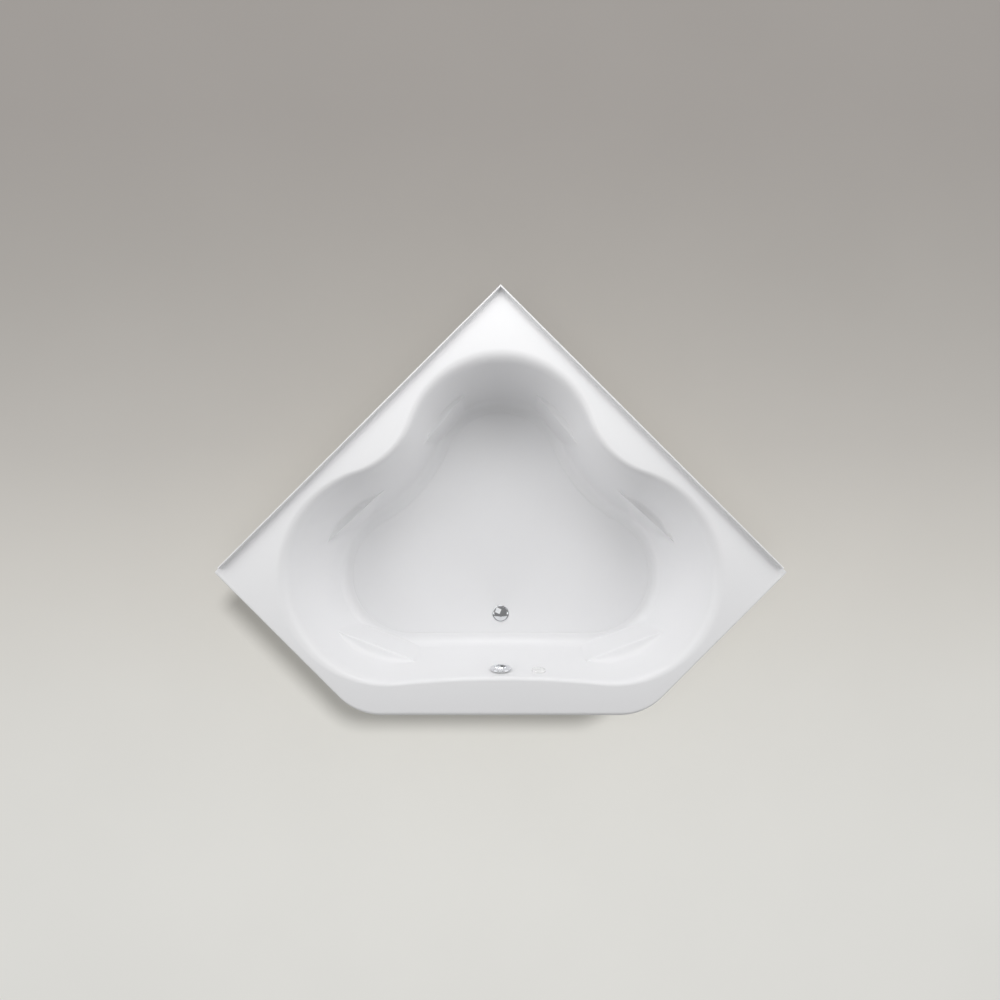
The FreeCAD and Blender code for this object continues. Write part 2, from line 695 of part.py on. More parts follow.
def drain_flange():
    """Strainer: flange in the floor's recess, threaded barrel and a spider with the stem's guide."""
    body = new_body("drain_flange")
    revolve(body, [
        ("WayRadius", over_floor(-27)), ("BarrelRadius", over_floor(-27)),
        ("BarrelRadius", over_floor("(-RecessDepth)")), ("DrainRadius", over_floor("(-RecessDepth)")),
        ("DrainRadius", over_floor(-0.8)), ("DrainRadius - 1.5", over_floor(0.6)),
        ("DrainRadius - 4", over_floor(1)), ("StopperRadius - 4.5", over_floor(1)),
        ("StopperRadius - 4.5", over_floor(-1)), ("WayRadius", over_floor(-4))])
    spider = new_sketch(body, lift=over_floor(-24))
    arm, half = "(WayRadius + 1)", "1.5"
    quarter = [(arm, f"-{half}"), (arm, half), (half, half)]
    cross_shape = []
    for _ in range(4):
        cross_shape += quarter
        quarter = [(f"-({y})", x) for x, y in quarter]
    draw_polygon(spider, cross_shape)
    pad(body, spider, "8")
    hub = new_sketch(body, lift=over_floor(-24))
    draw_circle(hub, "0", "0", "7")
    pad(body, hub, "8")
    guide = new_sketch(body, lift=over_floor(-25))
    draw_circle(guide, "0", "0", "4.08")
    pocket(body, guide, "10", upwards=True)
    return place(body, "0", "DrainY")


def dome(radius, foot_level, rise):
    """Points of a low dome's half section, from its edge to its top."""
    ball = (radius ** 2 + rise ** 2) / (2 * rise)
    points = []
    for share in (1.0, 0.9, 0.75, 0.55, 0.3, 0.0):
        height = math.sqrt(ball ** 2 - (share * radius) ** 2) - ball + rise
        points.append((str(share * radius), f"{foot_level} + {height}"))
    return points


def drain_stopper():
    """Domed stopper on its stem, and the seal round its hub."""
    stopper = new_body("drain_stopper")
    revolve(stopper, [
        ("0", over_floor(-35)), ("4", over_floor(-35)), ("4", over_floor(-4)),
        ("10", over_floor(-4)), ("10", over_floor(-1)), ("6", over_floor(-1)),
        ("6", over_floor(1.5)), ("StopperRadius", over_floor(1.5))]
        + dome(dim("StopperRadius"), over_floor(2.5), 6))
    seal = ring("stopper_seal", "6.1", "StopperRadius - 5.1", over_floor(-0.7), over_floor(1.3))
    return [place(stopper, "0", "DrainY"), place(seal, "0", "DrainY")]


SHOE_TOP = f"({FLOOR_UNDER} - BossDrop - 4)"
SHOE_FLOOR = "(WasteLevel - 18)"
OUTLET_END = "62"                # from the drain's axis to the end of the shoe's outlet
FORWARD = ALONG_Y * -1


def along_y(label, radius, near, far, level, x=0.0):
    """Round bar or tool along Y between two ordinates."""
    return cylinder(label, radius, V(x, dim(near), dim(level)), ALONG_Y, f"{far} - ({near})")


def upright(label, radius, low, high, y):
    """Round bar or tool standing on the centre line."""
    return cylinder(label, radius, V(0, dim(y), dim(low)), UP, f"{high} - ({low})")


def waste_shoe():
    """Moulded elbow under the drain, with the spindle's bearing and the cable's stop."""
    spindle_y = dim("DrainY + SpindleBack")
    spindle = V(0, spindle_y, dim("SpindleLevel"))
    stop = DOC.addObject("Part::Box", "cable_stop")
    stop.setExpression("Length", link("WireX + 6 - 15"))
    stop.setExpression("Width", "10")
    stop.setExpression("Height", "14")
    place(stop, "15", "DrainY - 22", "WireLevel - 7")
    solid = fuse(
        "shoe_blank",
        upright("shoe_can", "29", f"{SHOE_FLOOR} - 4", SHOE_TOP, "DrainY"),
        upright("shoe_collar", "33", f"{SHOE_TOP} - 4", SHOE_TOP, "DrainY"),
        along_y("shoe_outlet", "SocketRadius", f"DrainY - {OUTLET_END}", "DrainY", "WasteLevel"),
        cylinder("spindle_boss", "7", spindle + ALONG_X * 18, ALONG_X, "11.5"),
        stop)
    wire = dim("WireX")
    tools = fuse(
        "shoe_tools",
        upright("shoe_cavity", "WayRadius", SHOE_FLOOR, f"{SHOE_TOP} + 1", "DrainY"),
        upright("shoe_thread", "BarrelRadius + 0.1", f"{SHOE_TOP} - 10.5", f"{SHOE_TOP} + 1", "DrainY"),
        along_y("outlet_way", "18", f"DrainY - {OUTLET_END} - 1", "DrainY", "WasteLevel"),
        along_y("outlet_socket", "PipeRadius + 0.1", f"DrainY - {OUTLET_END} - 1", "DrainY - 42",
                "WasteLevel"),
        cylinder("spindle_way", "SpindleRadius + 0.06", spindle - ALONG_X * 20, ALONG_X, "60"),
        along_y("cable_way", "CableRadius + 0.1", "DrainY - 30", "DrainY - 5", "WireLevel", wire))
    return cut("waste_shoe", solid, tools)


STOPPER_LIFT = 10
LIFT_ANGLE = math.degrees(math.asin(STOPPER_LIFT / 2 / dim("SpindleBack")))


def lift_rocker():
    """Spindle across the shoe with the arm that stands under the stopper's stem."""
    pivot = V(0, dim("DrainY + SpindleBack"), dim("SpindleLevel"))
    turn = FreeCAD.Rotation(ALONG_X, LIFT_ANGLE)
    tip = pivot + turn.multVec(V(0, -dim("SpindleBack"), 0))
    arm = DOC.addObject("Part::Box", "rocker_arm")
    arm.setExpression("Length", "8")
    arm.setExpression("Width", link("SpindleBack"))
    arm.setExpression("Height", "4")
    arm.Placement = FreeCAD.Placement(pivot + turn.multVec(V(-4, -dim("SpindleBack"), -2)), turn)
    return fuse(
        "lift_rocker", arm,
        cylinder("rocker_spindle", "SpindleRadius", pivot - ALONG_X * 19, ALONG_X, "54"),
        cylinder("rocker_hub", "4.5", pivot - ALONG_X * 6, ALONG_X, "12"),
        cylinder("rocker_tip", "3", tip - ALONG_X * 4, ALONG_X, "8"))


def lift_crank():
    """Slotted crank on the spindle's outer end, turned by the cable's wire."""
    body = new_body("lift_crank")
    plate = new_sketch(body, "YZ_Plane", lift="WireX - 5.5")
    draw_polygon(plate, [("-5.5", "5.5"), ("-5.5", "-CrankLength - 6"),
                         ("5.5", "-CrankLength - 6"), ("5.5", "5.5")])
    pad(body, plate, "3")
    openings = new_sketch(body, "YZ_Plane", lift="WireX - 1")
    draw_circle(openings, "0", "0", "SpindleRadius + 0.04")
    draw_polygon(openings, [("-2.35", "-CrankLength + 3.8"), ("-2.35", "-CrankLength - 2.6"),
                            ("2.35", "-CrankLength - 2.6"), ("2.35", "-CrankLength + 3.8")])
    pocket(body, openings, "6")
    round_edges(body, along_x_at_corners, "4")
    return place(body, "0", "DrainY + SpindleBack", "SpindleLevel", FreeCAD.Rotation(ALONG_X, LIFT_ANGLE))


def along_x_at_corners(edge):
    """Picks the crank's four outer corners."""
    ends = [vertex.Point for vertex in edge.Vertexes]
    if len(ends) != 2 or abs(ends[0].y - ends[1].y) > 0.01 or abs(ends[0].z - ends[1].z) > 0.01:
        return False
    return abs(abs(ends[0].y) - 5.5) < 0.01


def cable_wire():
    """Inner wire with the nipple that turns the crank."""
    swing = dim("CrankLength") * math.sin(math.radians(LIFT_ANGLE))
    nipple_y = dim("DrainY + SpindleBack") + swing
    level = dim("WireLevel")
    end = V(dim("WireX"), nipple_y, level)
    return fuse(
        "cable_wire",
        cylinder("wire_strand", "WireRadius", end - ALONG_Y * 68, ALONG_Y, "68"),
        cylinder("wire_nipple", "2", end - ALONG_X * 6.5, ALONG_X, "8.5"))


def rounded_path(points):
    """Straight runs through the points, joined by arcs that touch both runs."""
    edges = []
    last = points[0]
    for before, corner, after in zip(points, points[1:], points[2:]):
        back, ahead = before - corner, after - corner
        half_turn = (math.pi - back.getAngle(ahead)) / 2
        radius = 0.45 * min(back.Length, ahead.Length) / math.tan(half_turn)
        reach = radius * math.tan(half_turn)
        back.normalize()
        ahead.normalize()
        start, end = corner + back * reach, corner + ahead * reach
        bisector = (back + ahead).normalize()
        middle = corner + bisector * (radius / math.cos(half_turn) - radius)
        edges += [Part.makeLine(last, start), Part.Arc(start, middle, end).toShape()]
        print(f"cable bend radius {radius:.1f} mm")
        last = end
    edges.append(Part.makeLine(last, points[-1]))
    return Part.Wire(edges)


def bowden_cable():
    """Sheathed cable from the overflow's body down and back to the shoe."""
    drum = wall_frame(0, dim("OverflowDrop")).multVec(V(0, -DRUM_RADIUS, DRUM_AT))
    wire_x, wire_z = dim("WireX"), dim("WireLevel")
    end = V(wire_x, dim("DrainY - 12.5"), wire_z)
    points = [
        V(34, drum.y, drum.z), V(96, drum.y, drum.z), V(72, -702, 212),
        V(wire_x, -660, wire_z), end]
    path = rounded_path(points)
    circle = Part.Circle(points[0], ALONG_X, dim("CableRadius")).toShape()
    sheath = feature("cable_sheath", path.makePipeShell([Part.Wire(circle)], True, True))
    bore = cylinder("sheath_way", "WireRadius + 0.4", end - ALONG_Y * 58, ALONG_Y, "60")
    print(f"cable length {path.Length:.0f} mm")
    return cut("bowden_cable", sheath, bore)


# ---------------------------------------------------------------- pipes
NUT_REACH = 12                   # length of a slip nut's skirt over its socket


def slip_nuts():
    """Ribbed nuts that squeeze each pipe's joint."""
    body = new_body("slip_nut")
    skirt, wall = str(NUT_REACH), str(NUT_REACH + 3)
    revolve(body, [
        ("PipeRadius + 0.3", wall), ("27", wall), ("28", f"{wall} - 1"), ("28", "0"),
        ("SocketRadius + 0.2", "0"), ("SocketRadius + 0.2", skirt), ("PipeRadius + 0.3", skirt)])
    groove = new_sketch(body, lift=f"{wall} + 1")
    draw_circle(groove, "28.9", "0", "2")
    repeat_round(body, pocket(body, groove, f"{wall} + 2"), 12)
    outlet = dim(f"DrainY - {OUTLET_END}") + NUT_REACH
    seats = [
        (V(0, outlet, dim("WasteLevel")), FORWARD),
        (V(0, dim(f"PipeY + {BRANCH}") - NUT_REACH, dim("WasteLevel")), ALONG_Y),
        (V(0, dim("PipeY"), dim(TEE_TOP) - NUT_REACH), UP),
        (V(0, dim("PipeY"), dim(SPIGOT_END) + NUT_REACH), UP * -1)]
    shapes = []
    for point, direction in seats:
        shape = body.Shape.copy()
        shape.Placement = FreeCAD.Placement(point, FreeCAD.Rotation(UP, direction))
        shapes.append(shape)
    return feature("slip_nuts", Part.makeCompound(shapes))


BRANCH = "38"
TEE_TOP = "(WasteLevel + 40)"
SPIGOT_END = "384"


def waste_tee():
    solid = fuse(
        "tee_blank",
        upright("tee_run", "SocketRadius", "WasteLevel - 30", TEE_TOP, "PipeY"),
        along_y("tee_branch", "SocketRadius", "PipeY + 6", f"PipeY + {BRANCH}", "WasteLevel"))
    tools = fuse(
        "tee_tools",
        upright("tee_way", "18", "WasteLevel - 31", f"{TEE_TOP} + 1", "PipeY"),
        upright("tee_socket_top", "PipeRadius + 0.1", "WasteLevel + 20", f"{TEE_TOP} + 1", "PipeY"),
        upright("tee_socket_low", "TailRadius + 0.1", "WasteLevel - 31", "WasteLevel - 10", "PipeY"),
        along_y("tee_branch_way", "17.6", "PipeY + 2", f"PipeY + {BRANCH} + 1", "WasteLevel"),
        along_y("tee_branch_socket", "PipeRadius + 0.1", "PipeY + 20", f"PipeY + {BRANCH} + 1",
                "WasteLevel"))
    return cut("waste_tee", solid, tools)


def pipes():
    overflow = ring("overflow_pipe", "PipeRadius - PipeWall", "PipeRadius", "WasteLevel + 20.3",
                    f"{SPIGOT_END} + 17.5")
    tail = new_body("tail_pipe")
    inside, stop, top = "TailRadius - PipeWall", "WasteLevel - 32", "WasteLevel - 10.3"
    revolve(tail, [
        ("TailRadius", "TailEnd"), ("TailRadius", stop), ("SocketRadius", stop),
        ("SocketRadius", f"{stop} + 1.7"), ("TailRadius", f"{stop} + 1.7"), ("TailRadius", top),
        (inside, top), (inside, "TailEnd")])
    shoe = new_body("shoe_pipe")
    near, far = "(PipeY + 20.5)", "(DrainY - 42.5)"
    section = new_sketch(shoe, "XZ_Plane", lift=f"-({far})")
    draw_circle(section, "0", "WasteLevel", "PipeRadius")
    draw_circle(section, "0", "WasteLevel", "PipeRadius - PipeWall")
    pad(shoe, section, f"{far} - {near}")
    return [shoe, place(tail, "0", "PipeY"), place(overflow, "0", "PipeY")]


# ---------------------------------------------------------------- overflow, square to the wall
# Heights along the overflow's axis count from the basin's face, towards the bather.
DRUM_RADIUS = 9.1
DRUM_AT = -31.5


def seat(body, frame):
    """Put a finished body on a frame of the front wall."""
    body.Placement = frame
    DOC.recompute()
    return body


def on_axis(label, frame, radius, low, high):
    """Round bar or tool on the frame's axis between two heights."""
    start = frame.multVec(V(0, 0, low))
    return cylinder(label, radius, start, frame.Rotation.multVec(UP), str(high - low))


def overflow_body(frame):
    """Housing behind the wall: drum chamber, spigot to the pipe and the cable's gland."""
    gland = frame.multVec(V(22, -DRUM_RADIUS, DRUM_AT))
    centre = frame.multVec(V(0, 0, DRUM_AT))
    spigot_top = f"{centre.z - 6:.3f}"
    solid = fuse(
        "overflow_blank",
        on_axis("overflow_plate", frame, "36", -16, -12.2),
        on_axis("overflow_can", frame, "33", -50, -16),
        upright("overflow_spigot", "SocketRadius", SPIGOT_END, spigot_top, "PipeY"),
        cylinder("cable_gland", "5.5", gland, ALONG_X, "21"))
    tools = fuse(
        "overflow_tools",
        on_axis("overflow_chamber", frame, "29", -46, -20),
        on_axis("overflow_thread", frame, "21.1", -21, -11),
        upright("spigot_way", "17", f"{SPIGOT_END} + 10", spigot_top, "PipeY"),
        upright("spigot_socket", "PipeRadius + 0.1", f"{SPIGOT_END} - 1", f"{SPIGOT_END} + 18", "PipeY"),
        cylinder("gland_way", "CableRadius + 0.1", gland, ALONG_X, "22"))
    return cut("overflow_body", solid, tools)


def overflow_retainer(frame):
    """Threaded ring inside the basin, with a spider that carries the dial's shaft."""
    body = new_body("overflow_retainer")
    revolve(body, [("17", "-24"), ("21", "-24"), ("21", "0.3"), ("33", "0.3"), ("33", "2.6"),
                   ("31.8", "3.8"), ("17", "3.8")])
    spider = new_sketch(body, lift="-12")
    draw_polygon(spider, [("5", "-1.5"), ("18", "-1.5"), ("18", "1.5"), ("5", "1.5")])
    repeat_round(body, pad(body, spider, "8"), 3)
    hub = new_sketch(body, lift="-12")
    draw_circle(hub, "0", "0", "8")
    pad(body, hub, "8")
    bore = new_sketch(body, lift="-13")
    draw_circle(bore, "0", "0", "5.07")
    pocket(body, bore, "10", upwards=True)
    return seat(body, frame)


def overflow_dial(frame):
    """Round turning knob, hollow below, with water ways round its skirt."""
    body = new_body("overflow_dial")
    edge = "DialRadius"
    revolve(body, [
        ("0", "9.6"), ("5.06", "9.6"), ("5.06", "5.5"), ("9", "5.5"), ("9", "8.4"), ("35.5", "8.4"),
        ("35.5", "5"), (f"{edge} - 1", "5"), (edge, "6"), (edge, "9.6"), (f"{edge} - 1.2", "11"),
        (f"{edge} - 9", "12"), ("0", "12.5")])
    way = new_sketch(body, lift="4")
    draw_polygon(way, [("33", "-4"), ("42", "-4"), ("42", "4"), ("33", "4")])
    repeat_round(body, pocket(body, way, "3.4", upwards=True), 12)
    return seat(body, frame)


def dial_drum(frame):
    """Shaft of the dial with the grooved drum that draws the cable's wire."""
    body = new_body("dial_drum")
    revolve(body, [
        ("0", "-45"), ("5", "-45"), ("5", "-37"), ("14", "-37"), ("14", "-35"),
        (str(DRUM_RADIUS - 0.8), "-34"), (str(DRUM_RADIUS - 0.8), "-29"), ("14", "-28"),
        ("14", "-26"), ("5", "-26"), ("5", "9.4"), ("0", "9.4")])
    return seat(body, frame)


# ---------------------------------------------------------------- air button beside the overflow
def button_bezel(frame):
    """Bezel with its threaded barrel and the guide for the button's stem."""
    body = new_body("button_bezel")
    revolve(body, [
        ("6.08", "-30"), ("17", "-30"), ("17", "0.3"), ("ButtonRadius", "0.3"),
        ("ButtonRadius", "5"), ("ButtonRadius - 2", "7"), ("19.1", "7"), ("19.1", "0.7"),
        ("12.1", "0.7"), ("12.1", "-14"), ("6.08", "-14")])
    return seat(body, frame)


def button_cap(frame):
    body = new_body("button_cap")
    revolve(body, [
        ("0", "-24"), ("6", "-24"), ("6", "5.8"), ("19", "5.8"), ("19", "8.6"), ("17.5", "10"),
        ("10", "10.8"), ("0", "11")])
    return seat(body, frame)


def button_spring(frame):
    """Wire spring between the bezel's shelf and the button, its turns in short straight lengths."""
    radius, wire, low, high = 9.1, 0.8, -13.8, 5.6
    turns, steps, sides = 6, 16, 8
    rise = high - low - 2 * wire
    points = []
    for step in range(turns * steps + 1):
        turn = FreeCAD.Rotation(UP, 360 * step / steps)
        points.append(turn.multVec(V(radius, 0, 0)) + UP * (rise * step / (turns * steps)))
    ahead = (points[1] - points[0]).normalize()
    outwards = ahead.cross(UP).normalize() * wire
    corners = [points[0] + FreeCAD.Rotation(ahead, 360 * side / sides).multVec(outwards)
               for side in range(sides + 1)]
    section = Part.makePolygon(corners)
    coil = Part.makePolygon(points).makePipeShell([section], True, False, 1)
    spring = feature("button_spring", coil)
    spring.Placement = frame.multiply(FreeCAD.Placement(V(0, 0, low + wire), FreeCAD.Rotation()))
    return spring


def button_air_cell(frame):
    """Cup screwed on the barrel's end, with the nozzle for the air tube."""
    body = new_body("button_air_cell")
    revolve(body, [
        ("17.15", "-19"), ("20", "-19"), ("20", "-35"), ("18", "-37"), ("3", "-37"), ("3", "-44"),
        ("3.8", "-45"), ("2.4", "-56"), ("1.5", "-56"), ("1.5", "-33.5"), ("17.15", "-33.5")])
    return seat(body, frame)


def support():
    parts = [base_board(), bearer_screws()] + [bearer(name) for name in BEARERS] + foot_nuts()
    for number, (x, y) in enumerate(FOOT_SPOTS, start=1):
        parts += foot(number, x, y)
    return parts + battens()


def waste():
    gasket = ring("drain_gasket", "BarrelRadius + 1", "33", SHOE_TOP, f"{SHOE_TOP} + 4")
    return ([drain_flange(), place(gasket, "0", "DrainY")] + drain_stopper()
            + [waste_shoe(), lift_rocker(), lift_crank(), cable_wire(), bowden_cable()]
            + pipes() + [waste_tee(), slip_nuts()])


def overflow():
    frame = wall_frame(0, dim("OverflowDrop"))
    gasket = seat(ring("overflow_gasket", "25.4", "34", "-12.2", "-7.2"), frame)
    return [overflow_body(frame), gasket, overflow_retainer(frame), overflow_dial(frame),
            dial_drum(frame)]


def button():
    frame = wall_frame(dim("ButtonX"), dim("OverflowDrop"))
    gasket = seat(ring("button_gasket", "17.8", "24", "-9.2", "-7.2"), frame)
    nut = seat(hex_nut("button_nut", "46", "-16.2", "7", "17.15"), frame)
    return [button_bezel(frame), gasket, nut, button_cap(frame), button_spring(frame),
            button_air_cell(frame)]


# ---------------------------------------------------------------- build, check and write
def check_and_write(parts):
    """Refuse a failed object or shape, then write one file for each sub-part."""
    DOC.recompute()
    for item in DOC.Objects:
        if "Invalid" in item.State or "Error" in item.State:
            raise RuntimeError(f"{item.Label} failed: {item.State}")
    os.makedirs("parts", exist_ok=True)
    for item in parts:
        if item.Shape.isNull() or not item.Shape.isValid():
            raise RuntimeError(f"{item.Label} has no valid shape")
        item.Shape.exportStep(f"parts/{item.Label}.step")
        print(f"{item.Label}: {item.Shape.Volume / 1000:.1f} cm3, {len(item.Shape.Solids)} solid(s)")


PARTS = [bath_shell()] + support() + waste() + overflow() + button()
check_and_write(PARTS)
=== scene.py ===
"""Looks of a corner bathtub: smooth acrylic shell, chrome and white fittings, hidden support.

Lengths in the shape tables are millimetres in the part's frame; meshes are made in metres.
"""

import functools
import json
import math

import bmesh
import bpy
from mathutils import Matrix, Vector


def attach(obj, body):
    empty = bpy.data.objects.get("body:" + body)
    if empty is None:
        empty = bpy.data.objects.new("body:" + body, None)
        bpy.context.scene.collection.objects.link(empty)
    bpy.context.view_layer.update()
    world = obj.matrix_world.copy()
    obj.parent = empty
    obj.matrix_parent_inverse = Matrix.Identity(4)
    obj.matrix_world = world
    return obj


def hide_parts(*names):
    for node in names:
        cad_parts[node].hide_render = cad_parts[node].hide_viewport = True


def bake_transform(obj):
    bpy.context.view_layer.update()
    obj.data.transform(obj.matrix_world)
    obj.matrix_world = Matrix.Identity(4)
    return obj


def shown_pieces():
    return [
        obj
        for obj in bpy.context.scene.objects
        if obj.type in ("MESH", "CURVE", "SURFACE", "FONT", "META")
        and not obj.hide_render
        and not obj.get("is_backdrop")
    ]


bl_info = {
    "name": "Corner Bathtub Looks",
    "version": (1, 0, 0),
    "blender": (4, 5, 0),
    "location": "View3D > Sidebar > Bathtub",
    "description": "Builds the smooth shell, the fittings, the materials and the studio",
    "category": "Add Mesh",
}

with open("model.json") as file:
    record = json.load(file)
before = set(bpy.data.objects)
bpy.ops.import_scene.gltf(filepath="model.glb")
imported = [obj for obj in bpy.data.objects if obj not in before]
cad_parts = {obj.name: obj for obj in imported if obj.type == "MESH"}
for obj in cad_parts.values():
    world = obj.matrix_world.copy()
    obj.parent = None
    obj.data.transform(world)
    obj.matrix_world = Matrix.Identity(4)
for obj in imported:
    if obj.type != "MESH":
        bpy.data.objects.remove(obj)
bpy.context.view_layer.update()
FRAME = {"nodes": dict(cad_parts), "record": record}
MM = 0.001

# ---------------------------------------------------------------- shape tables
# The same figures as in the solids, apart from the slopes and hollows of the ledges.
WALL_LEG, RETURN_LEG = 1524.0, 762.0
HALF_SPAN = WALL_LEG / math.sqrt(2)
RETURN_RUN = RETURN_LEG / math.sqrt(2)
BACK_Y = (HALF_SPAN + RETURN_RUN) / 2
TIP_Y = BACK_Y - HALF_SPAN
FRONT_X = HALF_SPAN - RETURN_RUN
DECK, DECK_THICK, LIP_HEIGHT, LIP_THICK = 508.0, 6.0, 40.0, 6.0
FRONT_CORNER, CORNER_TURN = 230.0, 45.0
FRONT_EDGE, RETURN_EDGE = 14.0, 6.0
FLANGE_RISE, FLANGE_THICK, FLANGE_GAP, FLANGE_COVE = 25.0, 5.0, 20.0, 9.0
BASIN_DEPTH, WALL_THICK, FLOOR_THICK, FLOOR_FALL = 385.0, 6.0, 7.0, 0.0122
DRAIN_Y = -478.0
# Each arc's reach from the middle and its radius, at the rim and at the floor.
BACK_REACH = (576.5, 383.5)
BACK_RADIUS = (368.0, 249.0)
SIDE_REACH = (851.0, 638.0)
SIDE_RADIUS = (417.5, 261.0)
NOSE_RADIUS = (315.0, 598.0)
FRONT_REACH = (677.5, 569.0)
FRONT_RADIUS = (3760.0, 40000.0)
HEADREST_ROLL, RIM_ROLL, COVE = 56.0, 17.0, 45.0
# Each ledge's tips on the left half, depth, slope down towards the basin in degrees, and hollow.
CRESCENTS = (
    {"tips": ((-158, 414), (-345, 186)), "depth": 225.0, "slope": 3.0, "hollow": 6.0},
    {"tips": ((-445, 67), (-706, -172)), "depth": 225.0, "slope": -16.0, "hollow": 14.0},
    {"tips": ((-655, -522), (-343, -641)), "depth": 200.0, "slope": 8.0, "hollow": 25.0},
)
CRESCENT_REACH = 30.0            # how far a ledge's face comes in on its way to the floor
CRESCENT_OVERRUN = 50.0          # how far a ledge's chord goes on past its two tips
CRESCENT_FOOT = 388.5            # depth where the face has come in all the way
OVERFLOW_DROP, OVERFLOW_HOLE = 74.0, 25.0
BUTTON_X, BUTTON_HOLE = 147.0, 17.5


# ---------------------------------------------------------------- basin outline at a depth
DRAFT_LIMIT, DRAFT_HALVINGS = 60.0, 40


@functools.lru_cache(maxsize=None)
def wall_draft(width, roll):
    """Draft of a wall that goes inwards by width between its rim and the floor."""
    low, high = 0.0, math.radians(DRAFT_LIMIT)
    for _ in range(DRAFT_HALVINGS):
        draft = (low + high) / 2
        straight = BASIN_DEPTH - (roll + COVE) * (1 - math.sin(draft))
        reach = (roll + COVE) * math.cos(draft) + straight * math.tan(draft)
        low, high = (draft, high) if reach < width else (low, draft)
    return draft


def at_depth(pair, depth, roll):
    """A figure of the outline at a depth: its rim value less what the wall has gone inwards."""
    width = pair[0] - pair[1]
    draft = wall_draft(width, roll)
    roll_depth = roll * (1 - math.sin(draft))
    rest = max(0.0, BASIN_DEPTH - depth)
    if depth <= roll_depth:
        inwards = math.sqrt(max(0.0, roll ** 2 - (roll - depth) ** 2))
    elif rest <= COVE * (1 - math.sin(draft)):
        inwards = width - math.sqrt(max(0.0, COVE ** 2 - (COVE - rest) ** 2))
    else:
        inwards = roll * math.cos(draft) + (depth - roll_depth) * math.tan(draft)
    return pair[0] - inwards


def outline(depth, grow=0.0):
    """Centre and radius of each arc on the left half, and the points where they touch."""
    back_radius = at_depth(BACK_RADIUS, depth, RIM_ROLL)
    back = Vector((0, at_depth(BACK_REACH, depth, HEADREST_ROLL) - back_radius))
    share = min(depth, BASIN_DEPTH) / BASIN_DEPTH
    nose_radius = NOSE_RADIUS[0] + share * (NOSE_RADIUS[1] - NOSE_RADIUS[0])
    front_radius = 1 / ((1 - share) / FRONT_RADIUS[0] + share / FRONT_RADIUS[1])
    front = Vector((0, -at_depth(FRONT_REACH, depth, RIM_ROLL) - front_radius))
    side_radius = at_depth(SIDE_RADIUS, depth, RIM_ROLL)
    side_x = side_radius - at_depth(SIDE_REACH, depth, HEADREST_ROLL)
    side = Vector((side_x, front.y + math.sqrt((side_radius + front_radius) ** 2 - side_x ** 2)))
    gap = side - back
    from_back, from_side = back_radius + nose_radius, side_radius + nose_radius
    along = (from_back ** 2 - from_side ** 2 + gap.length ** 2) / (2 * gap.length)
    across = math.sqrt(from_back ** 2 - along ** 2)
    unit = gap.normalized()
    nose = back + unit * along + Vector((unit.y, -unit.x)) * across
    circles = ((front, front_radius - grow), (side, side_radius + grow),
               (nose, nose_radius - grow), (back, back_radius + grow))
    points = [front + Vector((0, front_radius - grow))]
    for (first, first_radius), (second, second_radius) in zip(circles, circles[1:]):
        points.append(first + (second - first) * (first_radius / (first_radius + second_radius)))
    points.append(back + Vector((0, back_radius + grow)))
    return circles, points


def arc_point(circle, start, end, share):
    """Point of the shorter arc between two points of a circle."""
    centre, radius = circle
    first = math.atan2(start.y - centre.y, start.x - centre.x)
    turn = math.atan2(end.y - centre.y, end.x - centre.x) - first
    turn = (turn + math.pi) % (2 * math.pi) - math.pi
    angle = first + turn * share
    return centre + Vector((math.cos(angle), math.sin(angle))) * radius


# Columns run round the basin, each an arc, a share of it and a side. Here, each arc's number of them.
ARC_COLUMNS = (44, 116, 52, 56)


def make_columns():
    """The columns of the left half from front to back, then the right half's."""
    half = []
    for arc, count in enumerate(ARC_COLUMNS):
        half += [(arc, step / count) for step in range(count)]
    left = [(arc, share, 1) for arc, share in half]
    right = [(len(ARC_COLUMNS) - 1, 1.0, 1)] + [(arc, share, -1) for arc, share in reversed(half[1:])]
    return left + right


COLUMNS = make_columns()


class OutlineCache:
    """Basin outline points by depth, one for each column."""

    def __init__(self, grow=0.0):
        self.grow = grow
        self.known = {}

    def at(self, depth, column):
        key = round(depth, 3)
        if key not in self.known:
            self.known[key] = outline(key, self.grow)
        circles, points = self.known[key]
        arc, share, side = COLUMNS[column]
        point = arc_point(circles[arc], points[arc], points[arc + 1], share)
        return Vector((point.x * side, point.y))


INNER = OutlineCache()
OUTER = OutlineCache(WALL_THICK)


def level(depth, y):
    """Height of an inner point; the floor falls towards the drain."""
    return DECK - depth + FLOOR_FALL * (y - DRAIN_Y) * (depth / BASIN_DEPTH) ** 2


# ---------------------------------------------------------------- armrest ledges
def beyond_chord(shape, point, depth):
    """How far a point of the left half lies outside a ledge's face, and the face's normal."""
    start, end = (Vector(tip) for tip in shape["tips"])
    along = (end - start).normalized()
    outwards = Vector((along.y, -along.x))
    if outwards.dot(start + end) < 0:
        outwards.negate()
    run = (point - start).dot(along)
    if not -CRESCENT_OVERRUN < run < (end - start).length + CRESCENT_OVERRUN:
        return 0.0, outwards
    share = max(0.0, (depth - shape["depth"]) / (CRESCENT_FOOT - shape["depth"]))
    return (point - start).dot(outwards) + CRESCENT_REACH * share, outwards


def ledge_of(column):
    """The ledge that a column crosses and its width there, or none."""
    side = COLUMNS[column][2]
    for shape in CRESCENTS:
        point = INNER.at(shape["depth"], column)
        width, _ = beyond_chord(shape, Vector((point.x * side, point.y)), shape["depth"])
        if width > 0:
            return shape, width
    return None, 0.0


